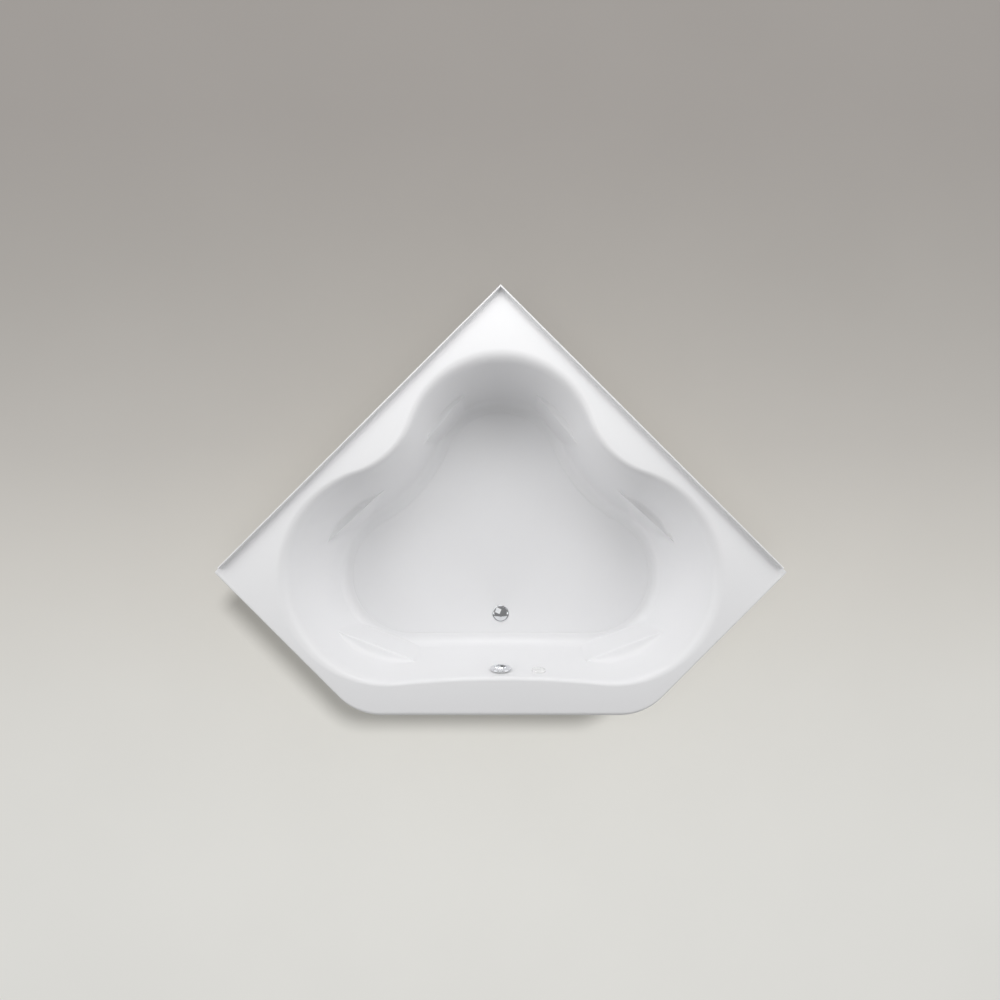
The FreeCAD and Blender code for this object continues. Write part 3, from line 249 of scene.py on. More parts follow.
def face_point(column, depth):
    """Wall point at a depth below the ledges, drawn in to a ledge's face where it lies outside."""
    side = COLUMNS[column][2]
    point = INNER.at(depth, column)
    point.x *= side
    for shape in CRESCENTS:
        width, outwards = beyond_chord(shape, point, depth)
        if width > 0 and depth >= shape["depth"]:
            point = point - outwards * width
    point.x *= side
    return point


# ---------------------------------------------------------------- rings of the basin
ROLL_DEPTHS = (0.0, 0.25, 0.9, 2.0, 3.6, 5.6, 8.0, 11.0, 15.0, 20.0, 27.0, 36.0, 48.0, 62.0)
LEDGE_EDGE = 4.0                 # rounding of a ledge's free edge
LEDGE_ABOVE, LEDGE_BELOW = 34.0, 10.0    # wall above and face below a ledge that its rings take
HOLLOW_SHARE, EDGE_SHARE = 0.8, 0.2      # most of a ledge's width that its hollow and edge take
HOLLOW_STEPS, EDGE_STEPS = 9, 5
JUST_BELOW = 0.001               # depth under a ledge's edge at which its face has begun
PLAIN_DEPTH = 225.0              # where the ledge's rings run in a column that crosses none
COVE_STEPS, COVE_START = 12, 82.0
COVE_TURNS = tuple(math.radians(COVE_START * (1 - step / COVE_STEPS)) for step in range(COVE_STEPS + 1))
WALL_STEPS, FACE_STEPS = 7, 6


def mix(first, second, share):
    """Value or point at a share of the way from the first to the second."""
    return first + (second - first) * share


def bend(start, corner, end, share):
    """Point of the curve that rounds a corner."""
    return mix(mix(start, corner, share), mix(corner, end, share), share)


def at_level(point, depth):
    """Flat point of the outline, put at its height."""
    return Vector((point.x, point.y, level(depth, point.y)))


def ledge_section(column):
    """Points of the wall's section from above a column's ledge to below it."""
    shape, width = ledge_of(column)
    depth = shape["depth"] if shape else PLAIN_DEPTH
    rise = width * math.tan(math.radians(shape["slope"])) if shape else 0.0
    hollow = min(shape["hollow"], width * HOLLOW_SHARE) if shape else 0.0
    edge = min(LEDGE_EDGE, width * EDGE_SHARE)
    back = at_level(INNER.at(depth - rise, column), depth - rise)
    front = at_level(face_point(column, depth + JUST_BELOW), depth)
    above = at_level(INNER.at(depth - rise - hollow, column), depth - rise - hollow)
    below = at_level(face_point(column, depth + edge), depth + edge)
    flat = (front - back).normalized()
    inner_end = back + flat * hollow
    outer_end = front - flat * edge
    start, end = depth - rise - LEDGE_ABOVE, depth + LEDGE_BELOW
    points = [at_level(INNER.at(start, column), start)]
    points += [bend(above, back, inner_end, step / HOLLOW_STEPS) for step in range(HOLLOW_STEPS + 1)]
    points += [bend(outer_end, front, below, step / EDGE_STEPS) for step in range(EDGE_STEPS + 1)]
    points.append(at_level(face_point(column, end), end))
    return start, end, points


def inner_section(column):
    """All points of one column, from the deck's rim down to the floor's edge."""
    ledge_start, ledge_end, ledge = ledge_section(column)
    top = [at_level(INNER.at(depth, column), depth) for depth in ROLL_DEPTHS]
    wall = [mix(ROLL_DEPTHS[-1], ledge_start, step / WALL_STEPS) for step in range(1, WALL_STEPS)]
    middle = [at_level(INNER.at(depth, column), depth) for depth in wall]
    cove = [BASIN_DEPTH - COVE * (1 - math.cos(turn)) for turn in COVE_TURNS]
    face = [mix(ledge_end, cove[0], step / FACE_STEPS) for step in range(1, FACE_STEPS)]
    foot = [at_level(face_point(column, depth), depth) for depth in face + cove]
    return top + middle + ledge + foot


# Distance in from the floor's edge, and height over the floor.
FLOOR_LINE = ((3.0, 0.0), (7.0, 0.0), (8.5, -0.7), (10.5, -0.7), (12.0, 0.0), (16.0, 0.0))


def floor_ring(inset, lift):
    """Outline of the floor drawn in by an inset, for the fine line round the floor."""
    cache = OutlineCache(-inset)
    flats = [cache.at(BASIN_DEPTH, column) for column in range(len(COLUMNS))]
    return [Vector((flat.x, flat.y, level(BASIN_DEPTH, flat.y) + lift)) for flat in flats]


OUTER_DEPTHS = (0.0, 1.0, 4.0, 9.0, 15.0, 26.0, 38.0, 130.0, 240.0, 345.0, 356.0, 366.0, 375.0,
                381.0, 384.0, 385.0)


def outer_section(column):
    """All points of one column on the basin's outside, from the deck down to the floor."""
    flats = [(OUTER.at(depth, column), DECK - DECK_THICK - depth) for depth in OUTER_DEPTHS]
    flats.append((OUTER.at(BASIN_DEPTH, column), DECK - BASIN_DEPTH - FLOOR_THICK))
    return [Vector((flat.x, flat.y, height)) for flat, height in flats]


# ---------------------------------------------------------------- bmesh helpers
FRONT, BACK = 0, 1               # material slots of the shell's two sides
LATHE_STEPS = 96
SHELL_WELD = 2e-5                # the shell's sheets meet within this, in metres
POLE_WELD = 8e-6                 # the spun copies of a point on the axis lie within this
COIL_WELD = 1e-7
SLIVER = 1e-6                    # an edge shorter than this is dissolved
SHARP_ANGLE = 35.0
PLANE_SLACK = 0.005              # heights that differ by less, in millimetres, are one plane


def new_ring(bm, points, closed=True):
    """Loop of edges through points, numbered by column, from an operator's circle."""
    column = bm.verts.layers.int.get("column") or bm.verts.layers.int.new("column")
    made = bmesh.ops.create_circle(bm, cap_ends=False, segments=len(points), radius=1.0)
    verts = made["verts"]
    verts_in = set(verts)
    edges = [edge for edge in {e for v in verts for e in v.link_edges}
             if all(v in verts_in for v in edge.verts)]
    for number, (vert, point) in enumerate(zip(verts, points)):
        vert[column] = number
        vert.co = point * MM
    if not closed:
        ends = {verts[0], verts[-1]}
        cut = [edge for edge in edges if set(edge.verts) == ends]
        bmesh.ops.delete(bm, geom=cut, context="EDGES")
        edges = [edge for edge in edges if edge.is_valid]
    return edges


def extrude_ring(bm, edges, points):
    """The loop drawn on to new points, in the order of its columns; gives the new edges."""
    column = bm.verts.layers.int["column"]
    made = bmesh.ops.extrude_edge_only(bm, edges=edges)["geom"]
    fresh = {item for item in made if isinstance(item, bmesh.types.BMVert)}
    for vert in fresh:
        vert.co = points[vert[column]] * MM
    return [item for item in made
            if isinstance(item, bmesh.types.BMEdge) and all(v in fresh for v in item.verts)]


def skin(bm, sections, closed=True):
    """Grid through sections, one list of points for each column; gives its last loop."""
    rows = list(zip(*sections))
    edges = new_ring(bm, rows[0], closed)
    for row in rows[1:]:
        edges = extrude_ring(bm, edges, row)
    return edges


def fill_between(bm, *loops, side=FRONT):
    """Flat face between loops of edges that lie in one plane."""
    edges = [edge for loop in loops for edge in loop]
    made = bmesh.ops.triangle_fill(bm, use_beauty=True, use_dissolve=False, edges=edges)
    if not made["geom"]:
        raise RuntimeError("a flat face of the shell couldn't be filled")
    for item in made["geom"]:
        if isinstance(item, bmesh.types.BMFace):
            item.material_index = side


def lathe(bm, section, frame, closed=True):
    """Turned form: points (radius, height) spun round the frame's Z axis."""
    made = [bm.verts.new(frame @ Vector((radius * MM, 0, height * MM))) for radius, height in section]
    pairs = list(zip(made, made[1:])) + ([(made[-1], made[0])] if closed else [])
    edges = [bm.edges.new(pair) for pair in pairs]
    bmesh.ops.spin(
        bm, geom=made + edges, cent=frame.translation, axis=frame.to_3x3() @ Vector((0, 0, 1)),
        dvec=(0, 0, 0), angle=2 * math.pi, steps=LATHE_STEPS, use_merge=True, use_duplicate=False)


def finish_mesh(bm, name, slot, weld):
    """Close the mesh, turn its faces outwards and put it in the scene in its slot's material."""
    bmesh.ops.remove_doubles(bm, verts=bm.verts, dist=weld)
    bmesh.ops.dissolve_degenerate(bm, edges=bm.edges, dist=SLIVER)
    bmesh.ops.recalc_face_normals(bm, faces=bm.faces)
    mesh = bpy.data.meshes.new(name)
    bm.to_mesh(mesh)
    bm.free()
    for polygon in mesh.polygons:
        polygon.use_smooth = True
    mesh.set_sharp_from_angle(angle=math.radians(SHARP_ANGLE))
    piece = bpy.data.objects.new(name, mesh)
    bpy.context.scene.collection.objects.link(piece)
    mesh.materials.append(material(slot))
    return piece


# ---------------------------------------------------------------- deck's edges
EDGE_BAND = 18.0                 # width of the deck's band that the edge sections take
ARC_STEPS, ROLL_STEPS = 14, 8
SIDE_STEPS, FRONT_STEPS, WALL_SIDE_STEPS = 8, 6, 12
LIP_ROUND = ((1.2, 0.0), (0.4, 0.4), (0.0, 1.2))    # rounding of the lip's foot: across, up
FLANGE_TOP = ((5.0, 1.5), (4.5, 0.5), (3.5, 0.0), (1.0, 0.0), (0.3, 0.3), (0.0, 1.0))


def path_left_to_right():
    """Open sides from the left tip to the right: point, inward direction, share of the front."""
    slant = Vector((1, 1)).normalized()
    tangent = FRONT_CORNER * math.tan(math.radians(CORNER_TURN / 2))
    tip = Vector((-HALF_SPAN, TIP_Y))
    corner = Vector((-FRONT_X, -BACK_Y))
    start = corner + (tip - corner).normalized() * tangent
    centre = start + slant * FRONT_CORNER
    run = (start - tip).normalized()
    left = [(tip + run * across, slant, 0.0) for across in sorted({a for a, _ in wall_profile(0.0)})]
    left += [(mix(tip + run * EDGE_BAND, start, step / SIDE_STEPS), slant, 0.0)
             for step in range(1, SIDE_STEPS + 1)]
    for step in range(1, ARC_STEPS + 1):
        angle = math.radians(270 - CORNER_TURN * (1 - step / ARC_STEPS))
        outwards = Vector((math.cos(angle), math.sin(angle)))
        left.append((centre + outwards * FRONT_CORNER, -outwards, step / ARC_STEPS))
    front = Vector((0, -BACK_Y))
    end = left[-1][0]
    left += [(mix(end, front, step / FRONT_STEPS), Vector((0, 1)), 1.0)
             for step in range(1, FRONT_STEPS)]
    right = [(Vector((-p.x, p.y)), Vector((-d.x, d.y)), s) for p, d, s in reversed(left)]
    return left + [(front, Vector((0, 1)), 1.0)] + right


def open_section(point, inwards, share):
    """Section of an open side: rolled top edge, drop lip and the deck's underside."""
    radius = RETURN_EDGE + share * (FRONT_EDGE - RETURN_EDGE)
    turns = [math.radians(90 * step / ROLL_STEPS) for step in range(ROLL_STEPS + 1)]
    flat = [(EDGE_BAND, DECK), ((EDGE_BAND + radius) / 2, DECK)]
    flat += [(radius * (1 - math.sin(turn)), DECK - radius * (1 - math.cos(turn))) for turn in turns]
    bottom = DECK - LIP_HEIGHT
    flat += [(across, bottom + up) for across, up in reversed(LIP_ROUND)]
    flat += [(LIP_THICK - across, bottom + up) for across, up in LIP_ROUND]
    flat += [(LIP_THICK, DECK - DECK_THICK), (EDGE_BAND, DECK - DECK_THICK)]
    return [Vector((*(point + inwards * across), height)) for across, height in flat]


def wall_path():
    """Wall sides from the left tip over the back corner to the right: point, inward, flanged."""
    along = Vector((1, 1)).normalized()
    inwards = Vector((1, -1)).normalized()
    tip = Vector((-HALF_SPAN, TIP_Y))
    start = tip + along * EDGE_BAND
    flange = tip + along * FLANGE_GAP * math.sqrt(2)
    corner = Vector((0, BACK_Y))
    left = [(start, inwards, False), (flange, inwards, False), (flange, inwards, True)]
    left += [(mix(flange, corner, step / WALL_SIDE_STEPS), inwards, True)
             for step in range(1, WALL_SIDE_STEPS)]
    middle = [(corner, Vector((0, -1)) * math.sqrt(2), True)]
    right = [(Vector((-p.x, p.y)), Vector((-d.x, d.y)), f) for p, d, f in reversed(left)]
    return left + middle + right


def wall_profile(lift):
    """Across and up: cove and flange, or the bare top of the deck where lift is nought."""
    cove_end = FLANGE_THICK + FLANGE_COVE
    turns = [math.radians(90 * step / ROLL_STEPS) for step in range(ROLL_STEPS + 1)]
    flat = [(EDGE_BAND, DECK)]
    flat += [(cove_end - FLANGE_COVE * math.sin(turn),
              DECK + lift * FLANGE_COVE * (1 - math.cos(turn))) for turn in turns]
    flat += [(across, DECK + lift * (FLANGE_RISE - drop)) for across, drop in FLANGE_TOP]
    return [(round(across, 6), height) for across, height in flat]


def wall_section(point, inwards, flanged):
    """Section of a wall side: cove and flange, or the bare edge of the deck near a tip."""
    top = wall_profile(1.0 if flanged else 0.0)
    under = sorted({across for across, _ in top})
    flat = top + [(across, DECK - DECK_THICK) for across in under]
    return [Vector((*(point + inwards * across), height)) for across, height in flat]


def cap_end(bm, edges_before, number):
    """Close the end of an open band: the free edges of one of its columns, and the gap left."""
    column = bm.verts.layers.int["column"]
    free = [edge for edge in bm.edges if edge not in edges_before and len(edge.link_faces) == 1
            and all(v[column] == number for v in edge.verts)]
    bmesh.ops.contextual_create(bm, geom=free)


def build_deck(bm):
    """Bands along the deck's open sides and wall sides, joined at the tips."""
    before = set(bm.edges)
    stops = path_left_to_right()
    skin(bm, [open_section(*stop) for stop in stops], closed=False)
    cap_end(bm, before, 0)
    cap_end(bm, before, len(stops) - 1)
    skin(bm, [wall_section(*stop) for stop in wall_path()], closed=False)


def fill_plane(bm, plane, side=FRONT):
    """Flat face between all the open loops that lie at one height, in millimetres."""
    edges = [edge for edge in bm.edges
             if len(edge.link_faces) == 1
             and all(abs(v.co.z / MM - plane) < PLANE_SLACK for v in edge.verts)]
    fill_between(bm, edges, side=side)


# ---------------------------------------------------------------- drain and front-wall holes
DRAIN_STEPS, HOLE_STEPS = 96, 64
RECESS_RIM, BOSS_RADIUS = 38.5, 50.0
# Radius, and height over the floor's face at the drain.
DRAIN_SECTION = ((37.2, 0.0), (36.8, -0.25), (36.5, -0.9), (36.5, -3.0), (25.6, -3.0),
                 (25.0, -3.6), (25.0, -12.4), (25.6, -13.0), (48.8, -13.0), (49.7, -12.6),
                 (BOSS_RADIUS, -11.8))
FLOOR_TOP = DECK - BASIN_DEPTH
WALL_ACROSS = 6.77               # how far the outer rim of a hole lies behind the inner one
PATCH_MARGIN, PATCH_DEPTH = 6.0, 2.5     # faces taken out round a hole's rim: beside and above it


def circle_points(radius, height):
    """Points of a level circle round the drain's axis."""
    turns = [2 * math.pi * step / DRAIN_STEPS for step in range(DRAIN_STEPS)]
    return [Vector((radius * math.cos(turn), DRAIN_Y + radius * math.sin(turn), height))
            for turn in turns]


def build_drain(bm, floor_edges, under_edges):
    """Recess, drain hole and boss, joined to the floor above and below."""
    rim = [Vector((p.x, p.y, level(BASIN_DEPTH, p.y))) for p in circle_points(RECESS_RIM, 0)]
    edges = new_ring(bm, rim)
    fill_between(bm, floor_edges, edges)
    for radius, drop in DRAIN_SECTION:
        edges = extrude_ring(bm, edges, circle_points(radius, FLOOR_TOP + drop))
    edges = extrude_ring(bm, edges, circle_points(BOSS_RADIUS, FLOOR_TOP - FLOOR_THICK))
    fill_between(bm, under_edges, edges, side=BACK)


def wall_frame(x, drop):
    """Frame on the front wall at a drop below the deck, its Z axis square to the wall."""
    draft = wall_draft(FRONT_REACH[0] - FRONT_REACH[1], RIM_ROLL)
    (centre, radius), *_ = outline(drop)[0]
    y = centre.y + math.sqrt(radius ** 2 - x ** 2)
    turn = Matrix.Rotation(-math.asin(x / radius), 4, "Z")
    tilt = Matrix.Rotation(math.radians(-90) + draft, 4, "X")
    return Matrix.Translation(Vector((x, y, DECK - drop)) * MM) @ turn @ tilt


def punch(bm, frame, radius):
    """Round hole square through the front wall, its inner and outer rims joined."""
    to_frame = frame.inverted()

    def near(point, depth, reach):
        local = to_frame @ point / MM
        return abs(local.z - depth) < PATCH_DEPTH and math.hypot(local.x, local.y) < reach

    rims = []
    for depth in (0.0, -WALL_ACROSS):
        patch = [face for face in bm.faces
                 if any(near(v.co, depth, radius + PATCH_MARGIN) for v in face.verts)
                 or near(face.calc_center_median(), depth, radius)]
        around = {edge for face in patch for edge in face.edges
                  if any(other not in patch for other in edge.link_faces)}
        bmesh.ops.delete(bm, geom=patch, context="FACES")
        made = bmesh.ops.create_circle(
            bm, cap_ends=False, segments=HOLE_STEPS, radius=radius * MM,
            matrix=frame @ Matrix.Translation((0, 0, depth * MM)))
        rim = {edge for vert in made["verts"] for edge in vert.link_edges}
        filled = bmesh.ops.triangle_fill(
            bm, use_beauty=True, use_dissolve=False, edges=list(around | rim),
            normal=frame.to_3x3() @ Vector((0, 0, 1)))
        if not filled["geom"]:
            raise RuntimeError("a hole in the front wall couldn't be closed round its rim")
        rims += list(rim)
    bmesh.ops.bridge_loops(bm, edges=rims)


def build_shell(bm):
    """The whole moulding: inside, floor, outside, deck, drain and the two holes in its front."""
    edges = skin(bm, [inner_section(number) for number in range(len(COLUMNS))])
    for inset, lift in FLOOR_LINE:
        edges = extrude_ring(bm, edges, floor_ring(inset, lift))
    inside = set(bm.faces)
    under = skin(bm, [outer_section(number) for number in range(len(COLUMNS))])
    for face in set(bm.faces) - inside:
        face.material_index = BACK
    build_drain(bm, edges, under)
    build_deck(bm)
    bmesh.ops.remove_doubles(bm, verts=bm.verts, dist=SHELL_WELD)
    fill_plane(bm, DECK)
    fill_plane(bm, DECK - DECK_THICK, BACK)
    punch(bm, wall_frame(0, OVERFLOW_DROP), OVERFLOW_HOLE)
    punch(bm, wall_frame(BUTTON_X, OVERFLOW_DROP), BUTTON_HOLE)


# ---------------------------------------------------------------- turned fittings
# Half sections are (radius, height) from the floor's or the wall's face; one that starts on the
# axis also ends there, and the others are closed loops.
DOME_RADIUS, DOME_FOOT, DOME_RISE = 29.2, 2.7, 5.8
DOME_BALL = (DOME_RADIUS ** 2 + DOME_RISE ** 2) / (2 * DOME_RISE)
DOME_SHARES = (1.0, 0.94, 0.86, 0.76, 0.64, 0.5, 0.35, 0.18, 0.0)
DOME = [(DOME_RADIUS * share, DOME_FOOT + math.sqrt(DOME_BALL ** 2 - (DOME_RADIUS * share) ** 2)
         - DOME_BALL + DOME_RISE) for share in DOME_SHARES]
STOPPER = [(0.0, -35.0), (3.5, -35.0), (4.0, -34.5), (4.0, -4.0), (10.0, -4.0), (10.0, -1.0),
           (6.0, -1.0), (6.0, 1.5), (DOME_RADIUS, 1.5), (29.7, 1.65), (30.0, 2.05),
           (29.85, 2.45)] + DOME
FLANGE = [(20.0, -27.0), (24.7, -27.0), (24.7, -3.0), (35.5, -3.0), (35.5, -0.8), (35.35, -0.2),
          (34.9, 0.25), (34.2, 0.6), (33.2, 0.86), (32.2, 0.97), (31.0, 1.0), (26.0, 1.0),
          (25.6, 0.8), (25.5, 0.4), (25.5, -1.0), (20.0, -4.0)]
FLANGE_HUB = [(4.08, -24.0), (7.0, -24.0), (7.0, -16.0), (4.08, -16.0)]
SPIDER_ARM, SPIDER_ARM_AT = (15.0, 3.0, 8.0), (13.8, 0.0, -20.0)    # size and middle of one arm
DIAL_WAY_LEVEL, DIAL_SKIRT = 7.4, 35.5   # roof of the notches, and inside of the skirt they cut
DIAL = [(0.0, 9.6), (5.06, 9.6), (5.06, 5.5), (9.0, 5.5), (9.0, 8.4), (DIAL_SKIRT, 8.4),
        (DIAL_SKIRT, DIAL_WAY_LEVEL), (DIAL_SKIRT, 5.0), (38.7, 5.0), (39.5, 5.2), (40.0, 6.0),
        (40.0, DIAL_WAY_LEVEL), (40.0, 9.5), (39.8, 10.2), (39.3, 10.75), (38.6, 11.05),
        (35.0, 11.45), (31.0, 11.95), (29.5, 12.05), (15.0, 12.4), (0.0, 12.5)]
DIAL_WAYS, DIAL_TURN = range(7), 12      # the notches in the lower half, of so many round the dial
NOTCH_REACH = 1.4                # lathe's steps from a notch's middle to those of its faces, at most
LEVEL_SLACK, SKIRT_SLACK = 0.01, 0.2
BEZEL = [(6.08, -30.0), (16.4, -30.0), (17.0, -29.4), (17.0, 0.3), (26.5, 0.3), (26.5, 4.6),
         (26.3, 5.4), (25.7, 6.3), (24.9, 6.85), (24.0, 7.0), (19.6, 7.0), (19.2, 6.8), (19.1, 6.3),
         (19.1, 0.7), (12.1, 0.7), (12.1, -14.0), (6.08, -14.0)]
CAP = [(0.0, -24.0), (6.0, -24.0), (6.0, 5.8), (19.0, 5.8), (19.0, 8.4), (18.85, 8.95), (18.4, 9.5),
       (17.7, 9.9), (14.0, 10.4), (10.0, 10.75), (5.0, 10.95), (0.0, 11.0)]


def drain_frame():
    """Frame on the floor's face at the drain."""
    return Matrix.Translation(Vector((0, DRAIN_Y, FLOOR_TOP)) * MM)


def add_spider(bm, frame):
    """Four arms from the flange's barrel to its hub."""
    for quarter in range(4):
        turn = frame @ Matrix.Rotation(quarter * math.pi / 2, 4, "Z")
        made = bmesh.ops.create_cube(bm, size=1.0)["verts"]
        bmesh.ops.scale(bm, verts=made, vec=Vector(SPIDER_ARM) * MM)
        bmesh.ops.translate(bm, verts=made, vec=Vector(SPIDER_ARM_AT) * MM)
        bmesh.ops.transform(bm, matrix=turn, verts=made)


def cut_notch(bm, to_notch, step):
    """Take a notch out of the dial's skirt, then fill its two sides and its roof."""
    def place(point):
        """Radius, angle from the notch's middle and height of a point."""
        local = to_notch @ point / MM
        return math.hypot(local.x, local.y), math.atan2(local.y, local.x), local.z

    def in_notch(face):
        radius, angle, height = place(face.calc_center_median())
        in_skirt = radius > DIAL_SKIRT - SKIRT_SLACK and height < DIAL_WAY_LEVEL
        return in_skirt and abs(angle) < NOTCH_REACH * step

    def on_roof(vert):
        return abs(place(vert.co)[2] - DIAL_WAY_LEVEL) < LEVEL_SLACK

    patch = [face for face in bm.faces if in_notch(face)]
    around = {edge for face in patch for edge in face.edges
              if any(other not in patch for other in edge.link_faces)}
    bmesh.ops.delete(bm, geom=patch, context="FACES")
    rim = {vert for edge in around for vert in edge.verts}
    crossings = []
    for sign in (-1, 1):
        side = {vert for vert in rim if sign * place(vert.co)[1] > step}
        corners = [vert for vert in side if on_roof(vert)]
        crossing = bmesh.ops.contextual_create(bm, geom=corners)["edges"]
        wall = [edge for edge in around if side.issuperset(edge.verts)]
        bmesh.ops.contextual_create(bm, geom=wall + crossing)
        crossings += crossing
    roof = [edge for edge in around if all(on_roof(vert) for vert in edge.verts)]
    bmesh.ops.contextual_create(bm, geom=roof + crossings)


def cut_water_ways(bm, frame):
    """Notches through the dial's skirt, each as wide as three of the lathe's steps."""
    step = 2 * math.pi / LATHE_STEPS
    for way in DIAL_WAYS:
        middle = Matrix.Rotation(way * 2 * math.pi / DIAL_TURN + step / 2, 4, "Z")
        cut_notch(bm, (frame @ middle).inverted(), step)


def add_turned(name, node, body, slot, frame, *sections, extra=None):
    """A turned piece in place of the CAD node of the same form."""
    bm = bmesh.new()
    for section in sections:
        lathe(bm, section, frame, closed=section[0][0] > 0)
    bmesh.ops.remove_doubles(bm, verts=bm.verts, dist=POLE_WELD)
    if extra:
        extra(bm, frame)
    piece = finish_mesh(bm, name, slot, POLE_WELD)
    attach(piece, body)
    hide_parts(node)


SPRING_RADIUS, SPRING_WIRE, SPRING_LOW, SPRING_HIGH = 9.1, 0.8, -13.8, 5.6
SPRING_TURNS, SPRING_STEPS, SPRING_SIDES = 6, 36, 12


def add_spring(frame):
    """Coil under the button, its foot on the bezel and its head on the button."""
    steps = SPRING_TURNS * SPRING_STEPS
    rise = (SPRING_HIGH - SPRING_LOW - 2 * SPRING_WIRE) * MM / steps
    axis = frame.to_3x3() @ Vector((0, 0, 1))
    start = Matrix.Translation(Vector((SPRING_RADIUS, 0, SPRING_LOW + SPRING_WIRE)) * MM)
    bm = bmesh.new()
    made = bmesh.ops.create_circle(
        bm, cap_ends=False, segments=SPRING_SIDES, radius=SPRING_WIRE * MM,
        matrix=frame @ start @ Matrix.Rotation(math.pi / 2, 4, "X"))["verts"]
    edges = list({edge for vert in made for edge in vert.link_edges})
    bmesh.ops.spin(
        bm, geom=made + edges, cent=frame.translation, axis=axis, dvec=axis * rise,
        angle=2 * math.pi * SPRING_TURNS, steps=steps, use_merge=False, use_duplicate=False)
    bmesh.ops.holes_fill(bm, edges=bm.edges, sides=SPRING_SIDES)
    piece = finish_mesh(bm, "button_coil", "steel", COIL_WELD)
    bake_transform(piece)
    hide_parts("button_spring")


# ---------------------------------------------------------------- materials
TINT_STOPS = (0.35, 0.65)        # where in the noise a material's two tints stand
NOISE_DETAIL, RELIEF_DETAIL = 4.0, 3.0
RELIEF_GRAIN = 4                 # a relief's grain over the colour's, where it isn't given
RELIEF_HEIGHT = 0.001
SHELL_MOTTLE, SHELL_SPREAD = 0.992, 0.03     # second tint over the first, and span of roughness
FLOOR_MOTTLE = 0.985


def procedural(name, tints, roughness, grain, metallic=0.0, bump=0.0, bump_grain=None, sockets=()):
    """Material whose colour, roughness and relief vary with noise over the object's space."""
    made = bpy.data.materials.new(name)
    made.use_nodes = True
    tree = made.node_tree
    nodes, links = tree.nodes, tree.links
    shader = nodes["Principled BSDF"]
    shader.inputs["Metallic"].default_value = metallic
    for socket, value in sockets:
        shader.inputs[socket].default_value = value
    place = nodes.new("ShaderNodeTexCoord")
    noise = nodes.new("ShaderNodeTexNoise")
    noise.inputs["Scale"].default_value = grain
    noise.inputs["Detail"].default_value = NOISE_DETAIL
    links.new(place.outputs["Object"], noise.inputs["Vector"])
    ramp = nodes.new("ShaderNodeValToRGB")
    for stop, position, tint in zip(ramp.color_ramp.elements, TINT_STOPS, tints):
        stop.position = position
        stop.color = (*tint, 1.0)
    links.new(noise.outputs["Fac"], ramp.inputs["Fac"])
    links.new(ramp.outputs["Color"], shader.inputs["Base Color"])
    spread = nodes.new("ShaderNodeMapRange")
    spread.inputs["To Min"].default_value, spread.inputs["To Max"].default_value = roughness
    links.new(noise.outputs["Fac"], spread.inputs["Value"])
    links.new(spread.outputs["Result"], shader.inputs["Roughness"])
    if bump:
        fine = nodes.new("ShaderNodeTexNoise")
        fine.inputs["Scale"].default_value = bump_grain or grain * RELIEF_GRAIN
        fine.inputs["Detail"].default_value = RELIEF_DETAIL
        links.new(place.outputs["Object"], fine.inputs["Vector"])
        relief = nodes.new("ShaderNodeBump")
        relief.inputs["Strength"].default_value = bump
        relief.inputs["Distance"].default_value = RELIEF_HEIGHT
        links.new(fine.outputs["Fac"], relief.inputs["Height"])
        links.new(relief.outputs["Normal"], shader.inputs["Normal"])
    return made


def make_materials(finish):
    """One material for each slot of the record, and the shell's rough back."""
    white = tuple(finish.acrylic_colour)
    return {
        "shell": procedural(
            "acrylic", (white, tuple(c * SHELL_MOTTLE for c in white)),
            (finish.acrylic_roughness, finish.acrylic_roughness + SHELL_SPREAD), grain=3.0,
            bump=0.02, bump_grain=35.0, sockets=(("Coat Weight", 0.12), ("Coat Roughness", 0.14),
                                                 ("IOR", 1.49), ("Specular IOR Level", 0.4))),
        "shell_back": procedural(
            "glass_fibre", ((0.74, 0.72, 0.62), (0.62, 0.6, 0.5)), (0.45, 0.7), grain=60.0,
            bump=0.5, bump_grain=240.0),
        "board": procedural(
            "chipboard", ((0.62, 0.46, 0.28), (0.42, 0.28, 0.15)), (0.7, 0.9), grain=180.0,
            bump=0.3, bump_grain=420.0),
        "steel": procedural(
            "galvanised_steel", ((0.62, 0.64, 0.66), (0.48, 0.5, 0.53)), (0.28, 0.5), metallic=1.0,
            grain=90.0, bump=0.05),
        "chrome": procedural(
            "chrome", ((0.86, 0.87, 0.89), (0.8, 0.81, 0.83)), (0.04, 0.1), metallic=1.0, grain=25.0,
            bump=0.01),
        "rubber": procedural(
            "rubber", ((0.03, 0.03, 0.032), (0.045, 0.045, 0.047)), (0.6, 0.8), grain=300.0, bump=0.15),
        "waste_plastic": procedural(
            "waste_plastic", ((0.72, 0.72, 0.7), (0.66, 0.66, 0.64)), (0.35, 0.5), grain=120.0,
            bump=0.08),
        "pad_plastic": procedural(
            "pad_plastic", ((0.035, 0.035, 0.037), (0.055, 0.055, 0.057)), (0.5, 0.68), grain=260.0,
            bump=0.2),
        "brass": procedural(
            "brass", ((0.78, 0.58, 0.28), (0.66, 0.47, 0.2)), (0.2, 0.36), metallic=1.0, grain=120.0,
            bump=0.05),
        "cable": procedural(
            "cable_sheath", ((0.02, 0.02, 0.022), (0.035, 0.035, 0.037)), (0.3, 0.42), grain=150.0,
            bump=0.05),
        "button_plastic": procedural(
            "button_plastic", ((0.82, 0.82, 0.82), (0.79, 0.79, 0.79)), (0.22, 0.3), grain=60.0,
            bump=0.03),
    }


MATERIALS = {}


def material(slot):
    """The material of a slot; all are made at the first call."""
    if slot not in MATERIALS:
        MATERIALS.update(make_materials(bpy.context.scene.tub_finish))
    return MATERIALS[slot]


